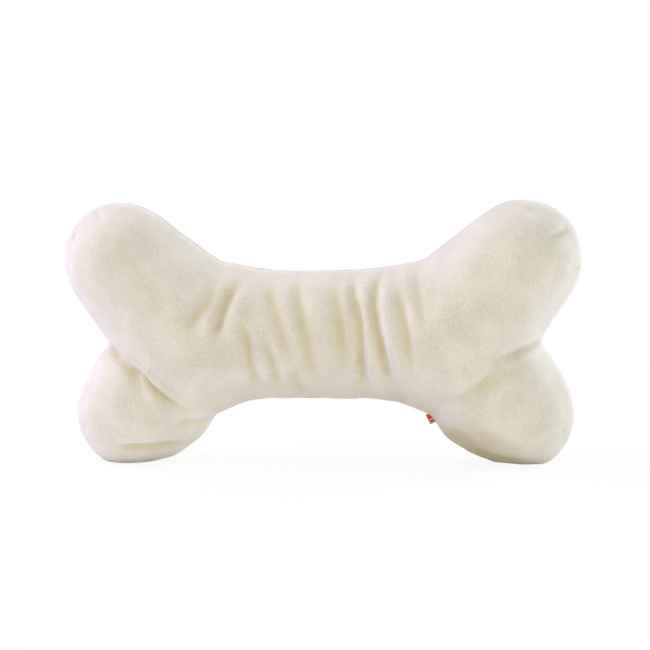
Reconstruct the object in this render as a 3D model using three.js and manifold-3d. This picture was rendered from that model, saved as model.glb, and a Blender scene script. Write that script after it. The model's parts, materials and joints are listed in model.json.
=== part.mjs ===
// Plush bone dog toy: two velour panels sewn together round a fibre filling that holds a squeaker.
// Millimetres. +X runs along the bone, -Y is its front and +Z is up. It stands on its two lower knobs,
// and the origin lies on the floor under its middle.
import * as THREE from "three";
import { mergeVertices } from "three/addons/utils/BufferGeometryUtils.js";
import Module from "manifold-3d";

const wasm = await Module();
wasm.setup();

// Bone: places from the middle of the waist, with full heights, and depths front to back. Each knob is a
// bag that narrows from a root inside the bone to its round tip.
const UPPER_KNOB_REACH = 125;
const UPPER_KNOB_RISE = 46.6;
const UPPER_KNOB_HEIGHT = 69.8;
const UPPER_KNOB_DEPTH = 66;
const UPPER_ROOT_REACH = 79;
const UPPER_ROOT_RISE = -3.5;
const UPPER_ROOT_HEIGHT = 94.8;
const UPPER_ROOT_DEPTH = 83;
const LOWER_KNOB_REACH = 124;
const LOWER_KNOB_RISE = -50;
const LOWER_KNOB_HEIGHT = 62.8;
const LOWER_KNOB_DEPTH = 62;
const LOWER_ROOT_REACH = 106;
const LOWER_ROOT_RISE = -35;
const LOWER_ROOT_HEIGHT = 81.4;
const LOWER_ROOT_DEPTH = 70;
const WAIST_LENGTH = 50;
const WAIST_HEIGHT = 78.6;
const WAIST_DEPTH = 71;
const HUB_REACH = 72;
const HUB_HEIGHT = 89.6;
const HUB_DEPTH = 81;

// Standing: the height over which the lower knobs settle under the toy's weight, and the flat cut below.
const SETTLE_HEIGHT = 12;
const STANDING_CUT = 0.5;

// Cover and seam: cloth thickness with its pile, and the turned-in edges that the stitching joins.
const VELOUR = 2;
const SEAM_ALLOWANCE = 6;
const ALLOWANCE_CLOTH = 1.2;
const STITCH_INSET = 3.6;
const THREAD = 0.5;
const OPENING_LENGTH = 50;
const CLOSING_STITCHES = 10;
const CLOSING_STITCH_WIDTH = 2.6;

// Creases: where the cloth folds in between the stuffing. One across the waist is given by the place along
// the bone and the turn round the shank, in degrees, of each end. One at a hub is given by angles round it, in
// degrees, each with the share of the way out to the outline.
const CREASE_WIDTH = 9;
const WAIST_CREASE_DEPTH = 3;
const HUB_CREASE_DEPTH = 4;
const FRONT_WAIST_CREASES = [
  { from: [-49, 55], to: [-63, -3] },
  { from: [-46, 22], to: [-37, -53] },
  { from: [-31, 8], to: [-23, -56] },
  { from: [22, 58], to: [28, -58] },
  { from: [38, 58], to: [45, -58] },
  { from: [51, 48], to: [59, -29] },
];
const BACK_WAIST_CREASES = [
  { from: [-42, 58], to: [-38, -44] },
  { from: [-10, 58], to: [-9, -58] },
  { from: [21, 58], to: [22, -58] },
  { from: [54, 52], to: [52, -4] },
];
const FRONT_HUB_CREASES = [
  { side: -1, turns: [[-2, 0.9], [-11, 0.69], [-34, 0.46], [-64, 0.68], [-80, 0.82]] },
  { side: 1, turns: [[1, 0.9], [-7, 0.77], [-11, 0.65], [-13, 0.4]] },
];
const BACK_HUB_CREASES = [
  { side: -1, turns: [[1, 0.9], [-3, 0.76], [-7, 0.55], [-6, 0.36]] },
  { side: 1, turns: [[1, 0.9], [-6, 0.75], [-21, 0.53], [-45, 0.45], [-74, 0.79]] },
];

// Seam label: a folded ribbon whose loop shows outside the seam, at an angle round the right hub.
const LABEL_ANGLE = -93;
const LABEL_WIDTH = 6.4;
const LABEL_LENGTH = 3.6;
const LABEL_RIBBON = 0.5;
const LABEL_FOLD_GAP = 0.4;
const LABEL_SPREAD = 20; // degrees either side that hold the ribbon's width

// Squeaker: a bellows bulb that lies across the waist, with its reed plug at the back.
const BULB_DIAMETER = 46;
const BULB_HEIGHT = 24;
const BULB_WALL = 1;
const BULB_SHOULDER = 4;
const BULB_PLEATS = 2;
const BULB_PLEAT_DEPTH = 2.4;
const NECK_BORE = 11;
const NECK_WALL = 1.2;
const NECK_LENGTH = 8;
const PLUG_LENGTH = 9;
const PLUG_FLANGE = 14;
const PLUG_FLANGE_THICKNESS = 1;
const CHANNEL_WIDTH = 5.6;
const CHANNEL_HEIGHT = 5;
const CLAMP_LENGTH = 3;
const TROUGH_DEPTH = 0.9;
const REED_WIDTH = 4.4;
const REED_LENGTH = 7.4;
const REED_THICKNESS = 0.4;
const POCKET_CLEARANCE = 2;

// Filling: half the length of the wad in the shank, past which the knobs' wads lie.
const SHANK_WAD_REACH = 64;

// Gap kept between pieces that touch, and the facets of round forms.
const CLEARANCE = 0.3;
const COVER_FACE = { sides: 16, rootSteps: 4, capSteps: 5, neckSteps: 4 };
const LINING = { sides: 8, rootSteps: 3, capSteps: 3, neckSteps: 3 };
const SOFT_TOLERANCE = 0.1;
const CREASE_SIDES = 6;
const CREASE_STEPS = 5;
const SQUEAKER_SIDES = 20;
const PLEAT_STEPS = 5;
const SHOULDER_STEPS = 3;
const FOLD_STEPS = 6;
const THREAD_SIDES = 6;
const SEAM_STEPS = 150;
const STEPS_PER_STITCH = 4;

const AXIS_HEIGHT = LOWER_KNOB_HEIGHT / 2 - LOWER_KNOB_RISE - STANDING_CUT;
const SEAM_HALF_GAP = Math.max(THREAD, LABEL_RIBBON) / 2 + CLEARANCE;
const ALLOWANCE_BACK = SEAM_HALF_GAP + ALLOWANCE_CLOTH;
const FILL_INSET = VELOUR + CLEARANCE + SOFT_TOLERANCE;
const BULB_BASE = BULB_HEIGHT / 2;
const PLUG_INNER_END = BULB_BASE - PLUG_LENGTH;
const FLANGE_SEAT = BULB_BASE + CLEARANCE;
const FLANGE_BACK = FLANGE_SEAT + PLUG_FLANGE_THICKNESS;
const CLAMP_EDGE = PLUG_INNER_END + CLAMP_LENGTH;
const CLAMP_GAP = REED_THICKNESS / 2 + CLEARANCE;
const POCKET_RADIUS = BULB_DIAMETER / 2 + POCKET_CLEARANCE;
const LABEL_HALF_THICKNESS = LABEL_RIBBON + LABEL_FOLD_GAP / 2;
const EVERYWHERE = 4 * (UPPER_KNOB_REACH + UPPER_KNOB_HEIGHT + LOWER_KNOB_REACH + LOWER_KNOB_HEIGHT);

const FRONTWARDS = new THREE.Vector3(0, -1, 0);
const { lerp: mix, clamp, degToRad } = THREE.MathUtils;
const smooth = (share) => share * share * (3 - 2 * share);

// Finishes
const finish = (color, roughness) => new THREE.MeshStandardMaterial({ color, roughness, metalness: 0 });
const velour = finish("#e4dcc9", 0.95);
const fibre = finish("#f4f3ee", 1);
const sewingThread = finish("#e9e3d3", 0.8);
const ribbon = finish("#c8371f", 0.7);
const bulbPlastic = finish("#dfe6e4", 0.45);
const plugPlastic = finish("#f0f0ec", 0.35);
const reedFilm = finish("#c9b27a", 0.3);

// A closed geometry as a solid that can be cut, and a cut solid as a geometry.

function solidOf(geometry) {
  const bare = geometry.clone();
  bare.deleteAttribute("normal");
  bare.deleteAttribute("uv");
  const merged = mergeVertices(bare);
  const corners = merged.index.array;
  const triangles = [];
  for (let i = 0; i < corners.length; i += 3) {
    const [a, b, c] = corners.slice(i, i + 3);
    if (a !== b && b !== c && c !== a) triangles.push(a, b, c);
  }
  const vertProperties = new Float32Array(merged.attributes.position.array);
  const triVerts = new Uint32Array(triangles);
  return new wasm.Manifold(new wasm.Mesh({ numProp: 3, vertProperties, triVerts }));
}

function geometryOf(solid) {
  const { vertProperties, triVerts } = solid.getMesh();
  const geometry = new THREE.BufferGeometry();
  geometry.setAttribute("position", new THREE.BufferAttribute(vertProperties, 3));
  geometry.setIndex(new THREE.BufferAttribute(triVerts, 1));
  geometry.computeVertexNormals();
  return geometry;
}

// A soft piece's geometry, without the slivers that cutting leaves.
const softGeometryOf = (solid) => geometryOf(solid.asOriginal().simplify(SOFT_TOLERANCE));

function boxSolid(low, high) {
  const size = new THREE.Vector3().subVectors(high, low);
  const middle = new THREE.Vector3().addVectors(low, high).divideScalar(2);
  const form = new THREE.BoxGeometry(size.x, size.y, size.z);
  return solidOf(form.translate(middle.x, middle.y, middle.z));
}

// All the space between two depths, front to back.
function slab(front, back) {
  const low = new THREE.Vector3(-EVERYWHERE, front, -EVERYWHERE);
  const high = new THREE.Vector3(EVERYWHERE, back, EVERYWHERE);
  return boxSolid(low, high);
}

function aboveFloor() {
  const low = new THREE.Vector3(-EVERYWHERE, -EVERYWHERE, 0);
  const high = new THREE.Vector3(EVERYWHERE, EVERYWHERE, EVERYWHERE);
  return boxSolid(low, high);
}

function named(name, geometry, material) {
  const mesh = new THREE.Mesh(geometry, material);
  mesh.name = name;
  return mesh;
}

// Stuffed forms: the shank and the knobs, drawn in by an inset for the layers under the cover's face.

const end = (reach, rise, height, depth) => ({ reach, rise, height, depth });
const UPPER_KNOB = {
  tip: end(UPPER_KNOB_REACH, UPPER_KNOB_RISE, UPPER_KNOB_HEIGHT, UPPER_KNOB_DEPTH),
  root: end(UPPER_ROOT_REACH, UPPER_ROOT_RISE, UPPER_ROOT_HEIGHT, UPPER_ROOT_DEPTH),
};
const LOWER_KNOB = {
  tip: end(LOWER_KNOB_REACH, LOWER_KNOB_RISE, LOWER_KNOB_HEIGHT, LOWER_KNOB_DEPTH),
  root: end(LOWER_ROOT_REACH, LOWER_ROOT_RISE, LOWER_ROOT_HEIGHT, LOWER_ROOT_DEPTH),
};
const KNOBS = {
  upper_left: { side: -1, ...UPPER_KNOB },
  upper_right: { side: 1, ...UPPER_KNOB },
  lower_left: { side: -1, ...LOWER_KNOB },
  lower_right: { side: 1, ...LOWER_KNOB },
};

// A height near the floor after settling: the lowest stays where it is, and what lies round it comes down.
function settled(height, inset) {
  const lowest = inset - STANDING_CUT;
  const share = (SETTLE_HEIGHT - height) / (SETTLE_HEIGHT - lowest);
  if (share <= 0) return height;
  const flattened = share + share * share * (1 - share);
  return SETTLE_HEIGHT - (SETTLE_HEIGHT - lowest) * flattened;
}

// Share of the hubs' fullness at a place along the shank: none in the waist, all of it at a hub.
function fullness(along) {
  const waistEnd = WAIST_LENGTH / 2;
  return smooth(clamp((Math.abs(along) - waistEnd) / (HUB_REACH - waistEnd), 0, 1));
}

const shankRadius = (along) => mix(WAIST_HEIGHT, HUB_HEIGHT, fullness(along)) / 2;
const shankHalfDepth = (along) => mix(WAIST_DEPTH, HUB_DEPTH, fullness(along)) / 2;

// A lathed bag laid along a direction in the seam's plane, made deeper or flatter front to back.
function stuffedBag(profile, sides, depthShare, root, direction) {
  const bag = new THREE.LatheGeometry(profile, sides);
  const points = bag.attributes.position;
  for (let i = 0; i < points.count; i++) {
    points.setZ(i, points.getZ(i) * depthShare(points.getY(i)));
  }
  const across = new THREE.Vector3().crossVectors(direction, FRONTWARDS);
  return bag.applyMatrix4(new THREE.Matrix4().makeBasis(across, direction, FRONTWARDS).setPosition(root));
}

function shankForm(inset, { sides, capSteps, neckSteps }) {
  const hubRadius = HUB_HEIGHT / 2 - inset;
  const half = [];
  for (let i = 0; i <= capSteps; i++) {
    const turn = (i / capSteps) * (Math.PI / 2);
    half.push(new THREE.Vector2(hubRadius * Math.sin(turn), -HUB_REACH - hubRadius * Math.cos(turn)));
  }
  for (let i = 1; i <= neckSteps; i++) {
    const along = mix(-HUB_REACH, -WAIST_LENGTH / 2, i / neckSteps);
    half.push(new THREE.Vector2(shankRadius(along) - inset, along));
  }
  const otherHalf = half.map((point) => new THREE.Vector2(point.x, -point.y)).reverse();
  const depthShare = (along) => (shankHalfDepth(along) - inset) / (shankRadius(along) - inset);
  const middle = new THREE.Vector3(0, 0, AXIS_HEIGHT);
  const direction = new THREE.Vector3(1, 0, 0);
  return solidOf(stuffedBag([...half, ...otherHalf], sides, depthShare, middle, direction));
}

// A knob's bag is round at both ends, with a straight flank between them.
function knobForm({ side, root, tip }, inset, { sides, rootSteps, capSteps }) {
  const rootRadius = root.height / 2 - inset;
  const tipRadius = tip.height / 2 - inset;
  const rootCentre = new THREE.Vector3(side * root.reach, 0, AXIS_HEIGHT + root.rise);
  const tipCentre = new THREE.Vector3(side * tip.reach, 0, AXIS_HEIGHT + tip.rise);
  const length = rootCentre.distanceTo(tipCentre);
  const lean = Math.asin((rootRadius - tipRadius) / length);
  const profile = [];
  for (let i = 0; i <= rootSteps; i++) {
    const turn = mix(-Math.PI / 2, lean, i / rootSteps);
    profile.push(new THREE.Vector2(rootRadius * Math.cos(turn), rootRadius * Math.sin(turn)));
  }
  for (let i = 0; i <= capSteps; i++) {
    const turn = mix(lean, Math.PI / 2, i / capSteps);
    profile.push(new THREE.Vector2(tipRadius * Math.cos(turn), length + tipRadius * Math.sin(turn)));
  }
  const rootShare = (root.depth / 2 - inset) / rootRadius;
  const tipShare = (tip.depth / 2 - inset) / tipRadius;
  const depthShare = (along) => mix(rootShare, tipShare, clamp(along / length, 0, 1));
  const direction = new THREE.Vector3().subVectors(tipCentre, rootCentre).normalize();
  const bag = stuffedBag(profile, sides, depthShare, rootCentre, direction);
  const points = bag.attributes.position;
  for (let i = 0; i < points.count; i++) points.setZ(i, settled(points.getZ(i), inset));
  return solidOf(bag);
}

function boneForm(inset, facets) {
  const knobs = Object.values(KNOBS).map((knob) => knobForm(knob, inset, facets));
  return knobs.reduce((bone, knob) => bone.add(knob), shankForm(inset, facets));
}

const creasedForm = (inset, facets) => boneForm(inset, facets).subtract(creases(inset));

// Seam line: the bone's outline in the seam's plane, found on each side by angle round that side's hub.

function beyondShank(along, up, inset) {
  const pastHub = Math.abs(along) - HUB_REACH;
  if (pastHub > 0) return Math.hypot(pastHub, up) - (HUB_HEIGHT / 2 - inset);
  return Math.abs(up) - (shankRadius(along) - inset);
}

// A knob's outline is swept by circles whose size changes evenly from root to tip.
function beyondKnob({ side, root, tip }, along, up, inset) {
  const axis = new THREE.Vector2(side * (tip.reach - root.reach), tip.rise - root.rise);
  const length = axis.length();
  const growth = (tip.height - root.height) / 2 / length;
  const fromRoot = new THREE.Vector2(along - side * root.reach, up - root.rise);
  const forward = fromRoot.dot(axis) / length;
  const sideways = Math.abs(fromRoot.cross(axis)) / length;
  const nearest = clamp(forward + (sideways * growth) / Math.sqrt(1 - growth * growth), 0, length);
  const radius = root.height / 2 + growth * nearest - inset;
  return Math.hypot(forward - nearest, sideways) - radius;
}

// At angle 0 the outline is crossed straight out along the bone, and at a right angle straight up.
function outlinePoint(side, angle, inset) {
  let inside = 0;
  let outside = EVERYWHERE;
  for (let i = 0; i < 40; i++) {
    const reach = (inside + outside) / 2;
    const along = side * (HUB_REACH + reach * Math.cos(angle));
    const up = reach * Math.sin(angle);
    const knobs = Object.values(KNOBS).map((knob) => beyondKnob(knob, along, up, inset));
    if (Math.min(beyondShank(along, up, inset), ...knobs) < 0) inside = reach;
    else outside = reach;
  }
  const along = side * (HUB_REACH + inside * Math.cos(angle));
  return new THREE.Vector3(along, 0, settled(AXIS_HEIGHT + inside * Math.sin(angle), inset));
}

// Creases: tubes laid along lines on the cover's face, which press it in.

function shankFace(along, up) {
  const pastHub = Math.max(Math.abs(along) - HUB_REACH, 0);
  const radius = Math.sqrt(Math.max(shankRadius(along) ** 2 - pastHub ** 2, 0));
  const share = shankHalfDepth(along) / shankRadius(along);
  return share * Math.sqrt(Math.max(radius ** 2 - up ** 2, 0));
}

function knobFace({ side, root, tip }, along, up) {
  const axis = new THREE.Vector2(side * (tip.reach - root.reach), tip.rise - root.rise);
  const length = axis.length();
  const [rootRadius, tipRadius] = [root.height / 2, tip.height / 2];
  const lean = Math.asin((rootRadius - tipRadius) / length);
  const fromRoot = new THREE.Vector2(along - side * root.reach, up - root.rise);
  const forward = fromRoot.dot(axis) / length;
  const sideways = fromRoot.cross(axis) / length;
  const flank = clamp((forward - rootRadius * Math.sin(lean)) / (length * Math.cos(lean) ** 2), 0, 1);
  const past = flank === 0 ? forward : forward - length;
  const radius = flank > 0 && flank < 1
    ? mix(rootRadius, tipRadius, flank) * Math.cos(lean)
    : Math.sqrt(Math.max((flank === 0 ? rootRadius : tipRadius) ** 2 - past ** 2, 0));
  const share = mix(root.depth / root.height, tip.depth / tip.height, clamp(forward / length, 0, 1));
  return share * Math.sqrt(Math.max(radius ** 2 - sideways ** 2, 0));
}

// How far the cover's face stands from the seam's plane, by place along the bone and height over its axis.
function faceAt(along, up) {
  return Math.max(shankFace(along, up), ...Object.values(KNOBS).map((knob) => knobFace(knob, along, up)));
}

function waistLine({ from, to }) {
  const points = [];
  for (let i = 0; i <= CREASE_STEPS; i++) {
    const along = mix(from[0], to[0], i / CREASE_STEPS);
    const turn = degToRad(mix(from[1], to[1], i / CREASE_STEPS));
    points.push(new THREE.Vector3(along, 0, shankRadius(along) * Math.sin(turn)));
  }
  return points;
}

function hubLine({ side, turns }) {
  const hub = new THREE.Vector3(side * HUB_REACH, 0, 0);
  return turns.map(([angle, share]) => {
    const edge = outlinePoint(side, degToRad(angle), 0);
    edge.z -= AXIS_HEIGHT;
    return new THREE.Vector3().lerpVectors(hub, edge, share);
  });
}

// A tube over a line, sunk to the crease's depth in its middle and running out at both ends.
function crease(line, depth, facing, inset) {
  const lift = (CREASE_WIDTH ** 2 / 4 - depth ** 2) / (2 * depth);
  const profile = [new THREE.Vector2(0, 0)];
  for (let i = 0; i <= CREASE_STEPS; i++) {
    const share = i / CREASE_STEPS;
    const sunk = depth * Math.min(1.4 * Math.sin(Math.PI * share), 1);
    profile.push(new THREE.Vector2(0.8 * lift + mix(0, sunk + 0.2 * lift, Math.min(sunk, 1)) + inset, share));
  }
  profile.push(new THREE.Vector2(0, 1));
  const path = new THREE.CatmullRomCurve3(line);
  const face = (place) => new THREE.Vector3(place.x, facing * faceAt(place.x, place.z), AXIS_HEIGHT + place.z);
  const tube = new THREE.LatheGeometry(profile, CREASE_SIDES);
  const points = tube.attributes.position;
  for (let i = 0; i < points.count; i++) {
    const share = points.getY(i);
    const place = path.getPoint(share);
    const along = path.getTangent(share);
    const across = new THREE.Vector3(along.z, 0, -along.x);
    const step = (direction) =>
      face(place.clone().add(direction)).sub(face(place.clone().sub(direction))).normalize();
    const forwards = step(along);
    const outwards = new THREE.Vector3().crossVectors(forwards, step(across)).multiplyScalar(facing).normalize();
    const sideways = new THREE.Vector3().crossVectors(forwards, outwards);
    const [x, z] = [points.getX(i), points.getZ(i) + lift];
    const spot = face(place).addScaledVector(sideways, x).addScaledVector(outwards, z);
    points.setXYZ(i, spot.x, spot.y, spot.z);
  }
  return solidOf(tube);
}

function creases(inset) {
  const tubes = [
    ...FRONT_WAIST_CREASES.map((ends) => crease(waistLine(ends), WAIST_CREASE_DEPTH, -1, inset)),
    ...FRONT_HUB_CREASES.map((turns) => crease(hubLine(turns), HUB_CREASE_DEPTH, -1, inset)),
    ...BACK_WAIST_CREASES.map((ends) => crease(waistLine(ends), WAIST_CREASE_DEPTH, 1, inset)),
    ...BACK_HUB_CREASES.map((turns) => crease(hubLine(turns), HUB_CREASE_DEPTH, 1, inset)),
  ];
  return tubes.reduce((all, tube) => all.add(tube));
}

function threadTube(points, steps) {
  const section = new THREE.Shape();
  section.absarc(0, 0, THREAD / 2, 0, 2 * Math.PI);
  const extrudePath = new THREE.CatmullRomCurve3(points);
  const options = { steps, extrudePath, bevelEnabled: false, curveSegments: THREAD_SIDES / 2 };
  return new THREE.ExtrudeGeometry(section, options);
}

// Cover: each panel is a bowl of velour whose edge turns in along the seam.

function panel(facing) {
  const half = (from) => (facing < 0 ? slab(-EVERYWHERE, -from) : slab(from, EVERYWHERE));
  return creasedForm(0, COVER_FACE)
    .intersect(half(SEAM_HALF_GAP))
    .intersect(aboveFloor())
    .subtract(creasedForm(VELOUR, LINING).intersect(half(ALLOWANCE_BACK)))
    .subtract(boneForm(VELOUR + SEAM_ALLOWANCE, LINING));
}

// The machine stitching starts and stops at the two ends of the stuffing opening under the waist.
function seamThread() {
  const fromAxis = WAIST_HEIGHT / 2 - STITCH_INSET;
  const start = Math.atan2(-fromAxis, OPENING_LENGTH / 2 - HUB_REACH);
  const middle = Math.atan2(fromAxis, -HUB_REACH);
  const halfSeam = (side) => {
    const points = [];
    for (let i = 0; i <= SEAM_STEPS / 2; i++) {
      points.push(outlinePoint(side, mix(start, middle, (2 * i) / SEAM_STEPS), STITCH_INSET));
    }
    return points;
  };
  return threadTube([...halfSeam(1), ...halfSeam(-1).reverse().slice(1)], SEAM_STEPS);
}

// The hand stitching crosses the closed opening from panel to panel.
function closingThread() {
  const points = [];
  for (let i = 0; i <= CLOSING_STITCHES; i++) {
    const along = mix(-OPENING_LENGTH / 2, OPENING_LENGTH / 2, i / CLOSING_STITCHES);
    const across = (i % 2 ? 1 : -1) * (CLOSING_STITCH_WIDTH / 2);
    const under = AXIS_HEIGHT - shankRadius(along) - CLEARANCE - THREAD / 2;
    points.push(new THREE.Vector3(along, across, under));
  }
  return threadTube(points, CLOSING_STITCHES * STEPS_PER_STITCH);
}

// Label: in its own group, +X points out of the seam, Y stays front to back, and Z runs along the seam.

function labelTab() {
  const foldX = LABEL_LENGTH - 2 * LABEL_HALF_THICKNESS;
  const loop = (radius) => {
    const outline = new THREE.Path();
    outline.absarc(0, 0, radius, Math.PI / 2, (3 * Math.PI) / 2);
    outline.absarc(foldX, 0, radius, -Math.PI / 2, Math.PI / 2);
    return outline;
  };
  const section = new THREE.Shape(loop(LABEL_HALF_THICKNESS).getPoints(FOLD_STEPS));
  section.holes.push(loop(LABEL_FOLD_GAP / 2));
  const options = { depth: LABEL_WIDTH, bevelEnabled: false, curveSegments: FOLD_STEPS };
  return new THREE.ExtrudeGeometry(section, options).translate(0, 0, -LABEL_WIDTH / 2);
}

// The sewn-in ends run from the seam's mouth to just short of the stitching.
function labelEnds(stitchingDepth) {
  const mouth = -CLEARANCE - LABEL_HALF_THICKNESS;
  const length = stitchingDepth + mouth - THREAD / 2 - CLEARANCE;
  const ends = new THREE.BoxGeometry(length, LABEL_RIBBON, LABEL_WIDTH);
  return ends.translate(mouth - length / 2, 0, 0);
}

// How far in from the label's flex line the stitching lies where it comes nearest across the ribbon.
function stitchingBehind(hinge, outwards, along) {
  const depths = [];
  for (let turn = -LABEL_SPREAD; turn <= LABEL_SPREAD; turn++) {
    const stitch = outlinePoint(1, degToRad(LABEL_ANGLE + turn), STITCH_INSET).sub(hinge);
    if (Math.abs(stitch.dot(along)) < LABEL_WIDTH / 2 + THREAD) depths.push(-stitch.dot(outwards));
  }
  return Math.min(...depths);
}

function labelGroup() {
  const angle = degToRad(LABEL_ANGLE);
  const glance = degToRad(1);
  const seat = outlinePoint(1, angle, 0);
  const along = new THREE.Vector3()
    .subVectors(outlinePoint(1, angle + glance, 0), outlinePoint(1, angle - glance, 0))
    .normalize();
  const outwards = new THREE.Vector3().crossVectors(along, FRONTWARDS);
  const backwards = FRONTWARDS.clone().negate();
  const hinge = seat.addScaledVector(outwards, CLEARANCE + LABEL_HALF_THICKNESS);
  const ends = labelEnds(stitchingBehind(hinge, outwards, along));
  const group = new THREE.Group();
  group.applyMatrix4(new THREE.Matrix4().makeBasis(outwards, backwards, along).setPosition(hinge));
  group.add(named("label_tab", labelTab(), ribbon), named("label_ends", ends, ribbon));
  return group;
}

// Filling: wads of fibre packed inside the panels, parted where the seam allowances reach in.

function fillForm() {
  const layer = slab(-ALLOWANCE_BACK - CLEARANCE, ALLOWANCE_BACK + CLEARANCE);
  const withinAllowances = boneForm(VELOUR + SEAM_ALLOWANCE + CLEARANCE, LINING);
  return creasedForm(FILL_INSET, LINING).subtract(layer.subtract(withinAllowances));
}

// The main body of the filling between two places along the bone and two heights.
function wad(left, right, bottom, top) {
  const low = new THREE.Vector3(left, -EVERYWHERE, bottom);
  const high = new THREE.Vector3(right, EVERYWHERE, top);
  const bodies = fillForm().intersect(boxSolid(low, high)).decompose();
  return bodies.reduce((main, body) => (body.volume() > main.volume() ? body : main));
}

// The squeaker's pocket, from in front of the bone to a depth, drawn in by a gap.
function pocket(depth, gap) {
  const length = depth + EVERYWHERE;
  const radius = POCKET_RADIUS - gap;
  const form = new THREE.CylinderGeometry(radius, radius, length, SQUEAKER_SIDES);
  return solidOf(form.translate(0, depth - length / 2, AXIS_HEIGHT));
}

function shankFill() {
  const shank = wad(-SHANK_WAD_REACH, SHANK_WAD_REACH, -EVERYWHERE, EVERYWHERE);
  return shank.subtract(pocket(FLANGE_BACK + CLEARANCE, 0));
}

function squeezeWad() {
  const pocketed = shankForm(FILL_INSET, LINING).intersect(pocket(-BULB_BASE - CLEARANCE, CLEARANCE));
  return pocketed.subtract(creases(FILL_INSET));
}

function knobFill({ side, tip }) {
  const [inner, outer] = [SHANK_WAD_REACH + CLEARANCE, EVERYWHERE];
  const [bottom, top] = tip.rise > 0 ? [AXIS_HEIGHT + CLEARANCE, EVERYWHERE] : [-EVERYWHERE, AXIS_HEIGHT];
  return side > 0 ? wad(inner, outer, bottom, top) : wad(-outer, -inner, bottom, top);
}

// Squeaker: in its own group, Y runs from the bulb's crown in front to its plug at the back.

// The bulb's outline from the crown's middle to the base's rim, drawn in for its inner face.
function bulbOutline(inset) {
  const radius = BULB_DIAMETER / 2 - inset;
  const half = BULB_HEIGHT / 2 - inset;
  const shoulder = BULB_SHOULDER - inset;
  const outline = [new THREE.Vector2(0, -half)];
  for (let i = 0; i <= SHOULDER_STEPS; i++) {
    const turn = (i / SHOULDER_STEPS) * (Math.PI / 2);
    outline.push(
      new THREE.Vector2(radius - shoulder * (1 - Math.sin(turn)), -half + shoulder * (1 - Math.cos(turn))),
    );
  }
  const pleatSteps = BULB_PLEATS * PLEAT_STEPS;
  for (let i = 1; i < pleatSteps; i++) {
    const share = i / pleatSteps;
    const fold = (BULB_PLEAT_DEPTH * (1 - Math.cos(2 * Math.PI * BULB_PLEATS * share))) / 2;
    outline.push(new THREE.Vector2(radius - fold, mix(-half + shoulder, half - shoulder, share)));
  }
  for (let i = 0; i <= SHOULDER_STEPS; i++) {
    const turn = (i / SHOULDER_STEPS) * (Math.PI / 2);
    outline.push(
      new THREE.Vector2(radius - shoulder * (1 - Math.cos(turn)), half - shoulder * (1 - Math.sin(turn))),
    );
  }
  return outline;
}

function squeakerBulb() {
  const bore = NECK_BORE / 2;
  const neck = [
    new THREE.Vector2(bore, BULB_BASE),
    new THREE.Vector2(bore, BULB_BASE - NECK_LENGTH),
    new THREE.Vector2(bore + NECK_WALL, BULB_BASE - NECK_LENGTH),
    new THREE.Vector2(bore + NECK_WALL, BULB_BASE - BULB_WALL),
  ];
  const profile = [...bulbOutline(0), ...neck, ...bulbOutline(BULB_WALL).reverse()];
  return new THREE.LatheGeometry(profile, SQUEAKER_SIDES);
}

// The air channel runs right through the plug, and is low over the clamp so that the reed is held there.
function reedPlug() {
  const radius = NECK_BORE / 2 - CLEARANCE;
  const profile = [
    new THREE.Vector2(0, PLUG_INNER_END),
    new THREE.Vector2(radius, PLUG_INNER_END),
    new THREE.Vector2(radius, FLANGE_SEAT),
    new THREE.Vector2(PLUG_FLANGE / 2, FLANGE_SEAT),
    new THREE.Vector2(PLUG_FLANGE / 2, FLANGE_BACK),
    new THREE.Vector2(0, FLANGE_BACK),
  ];
  const channel = (front, top) =>
    boxSolid(
      new THREE.Vector3(-CHANNEL_WIDTH / 2, front, -CHANNEL_HEIGHT / 2),
      new THREE.Vector3(CHANNEL_WIDTH / 2, EVERYWHERE, top),
    );
  return solidOf(new THREE.LatheGeometry(profile, SQUEAKER_SIDES))
    .subtract(channel(-EVERYWHERE, CLAMP_GAP))
    .subtract(channel(CLAMP_EDGE, CHANNEL_HEIGHT / 2));
}

// The wedge fills the channel's floor: a land under the reed's clamped end, then a trough to vibrate over.
function reedWedge() {
  const floor = CLEARANCE - CHANNEL_HEIGHT / 2;
  const section = new THREE.Shape([
    new THREE.Vector2(PLUG_INNER_END, floor),
    new THREE.Vector2(FLANGE_BACK, floor),
    new THREE.Vector2(FLANGE_BACK, -CLAMP_GAP - TROUGH_DEPTH),
    new THREE.Vector2(CLAMP_EDGE, -CLAMP_GAP - TROUGH_DEPTH),
    new THREE.Vector2(CLAMP_EDGE, -CLAMP_GAP),
    new THREE.Vector2(PLUG_INNER_END, -CLAMP_GAP),
  ]);
  const depth = CHANNEL_WIDTH - 2 * CLEARANCE;
  const wedge = new THREE.ExtrudeGeometry(section, { depth, bevelEnabled: false });
  const [x, y, z] = [0, 1, 2].map((i) => new THREE.Vector3().setComponent(i, 1));
  return wedge.translate(0, 0, -depth / 2).applyMatrix4(new THREE.Matrix4().makeBasis(y, z, x));
}

function reed() {
  const form = new THREE.BoxGeometry(REED_WIDTH, REED_LENGTH, REED_THICKNESS);
  return form.translate(0, PLUG_INNER_END + REED_LENGTH / 2, 0);
}

function squeakerGroup() {
  const group = new THREE.Group();
  group.position.z = AXIS_HEIGHT;
  group.add(
    named("squeaker_bulb", squeakerBulb(), bulbPlastic),
    named("reed_plug", geometryOf(reedPlug()), plugPlastic),
    named("reed_wedge", reedWedge(), plugPlastic),
    named("reed", reed(), reedFilm),
  );
  return group;
}

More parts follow.
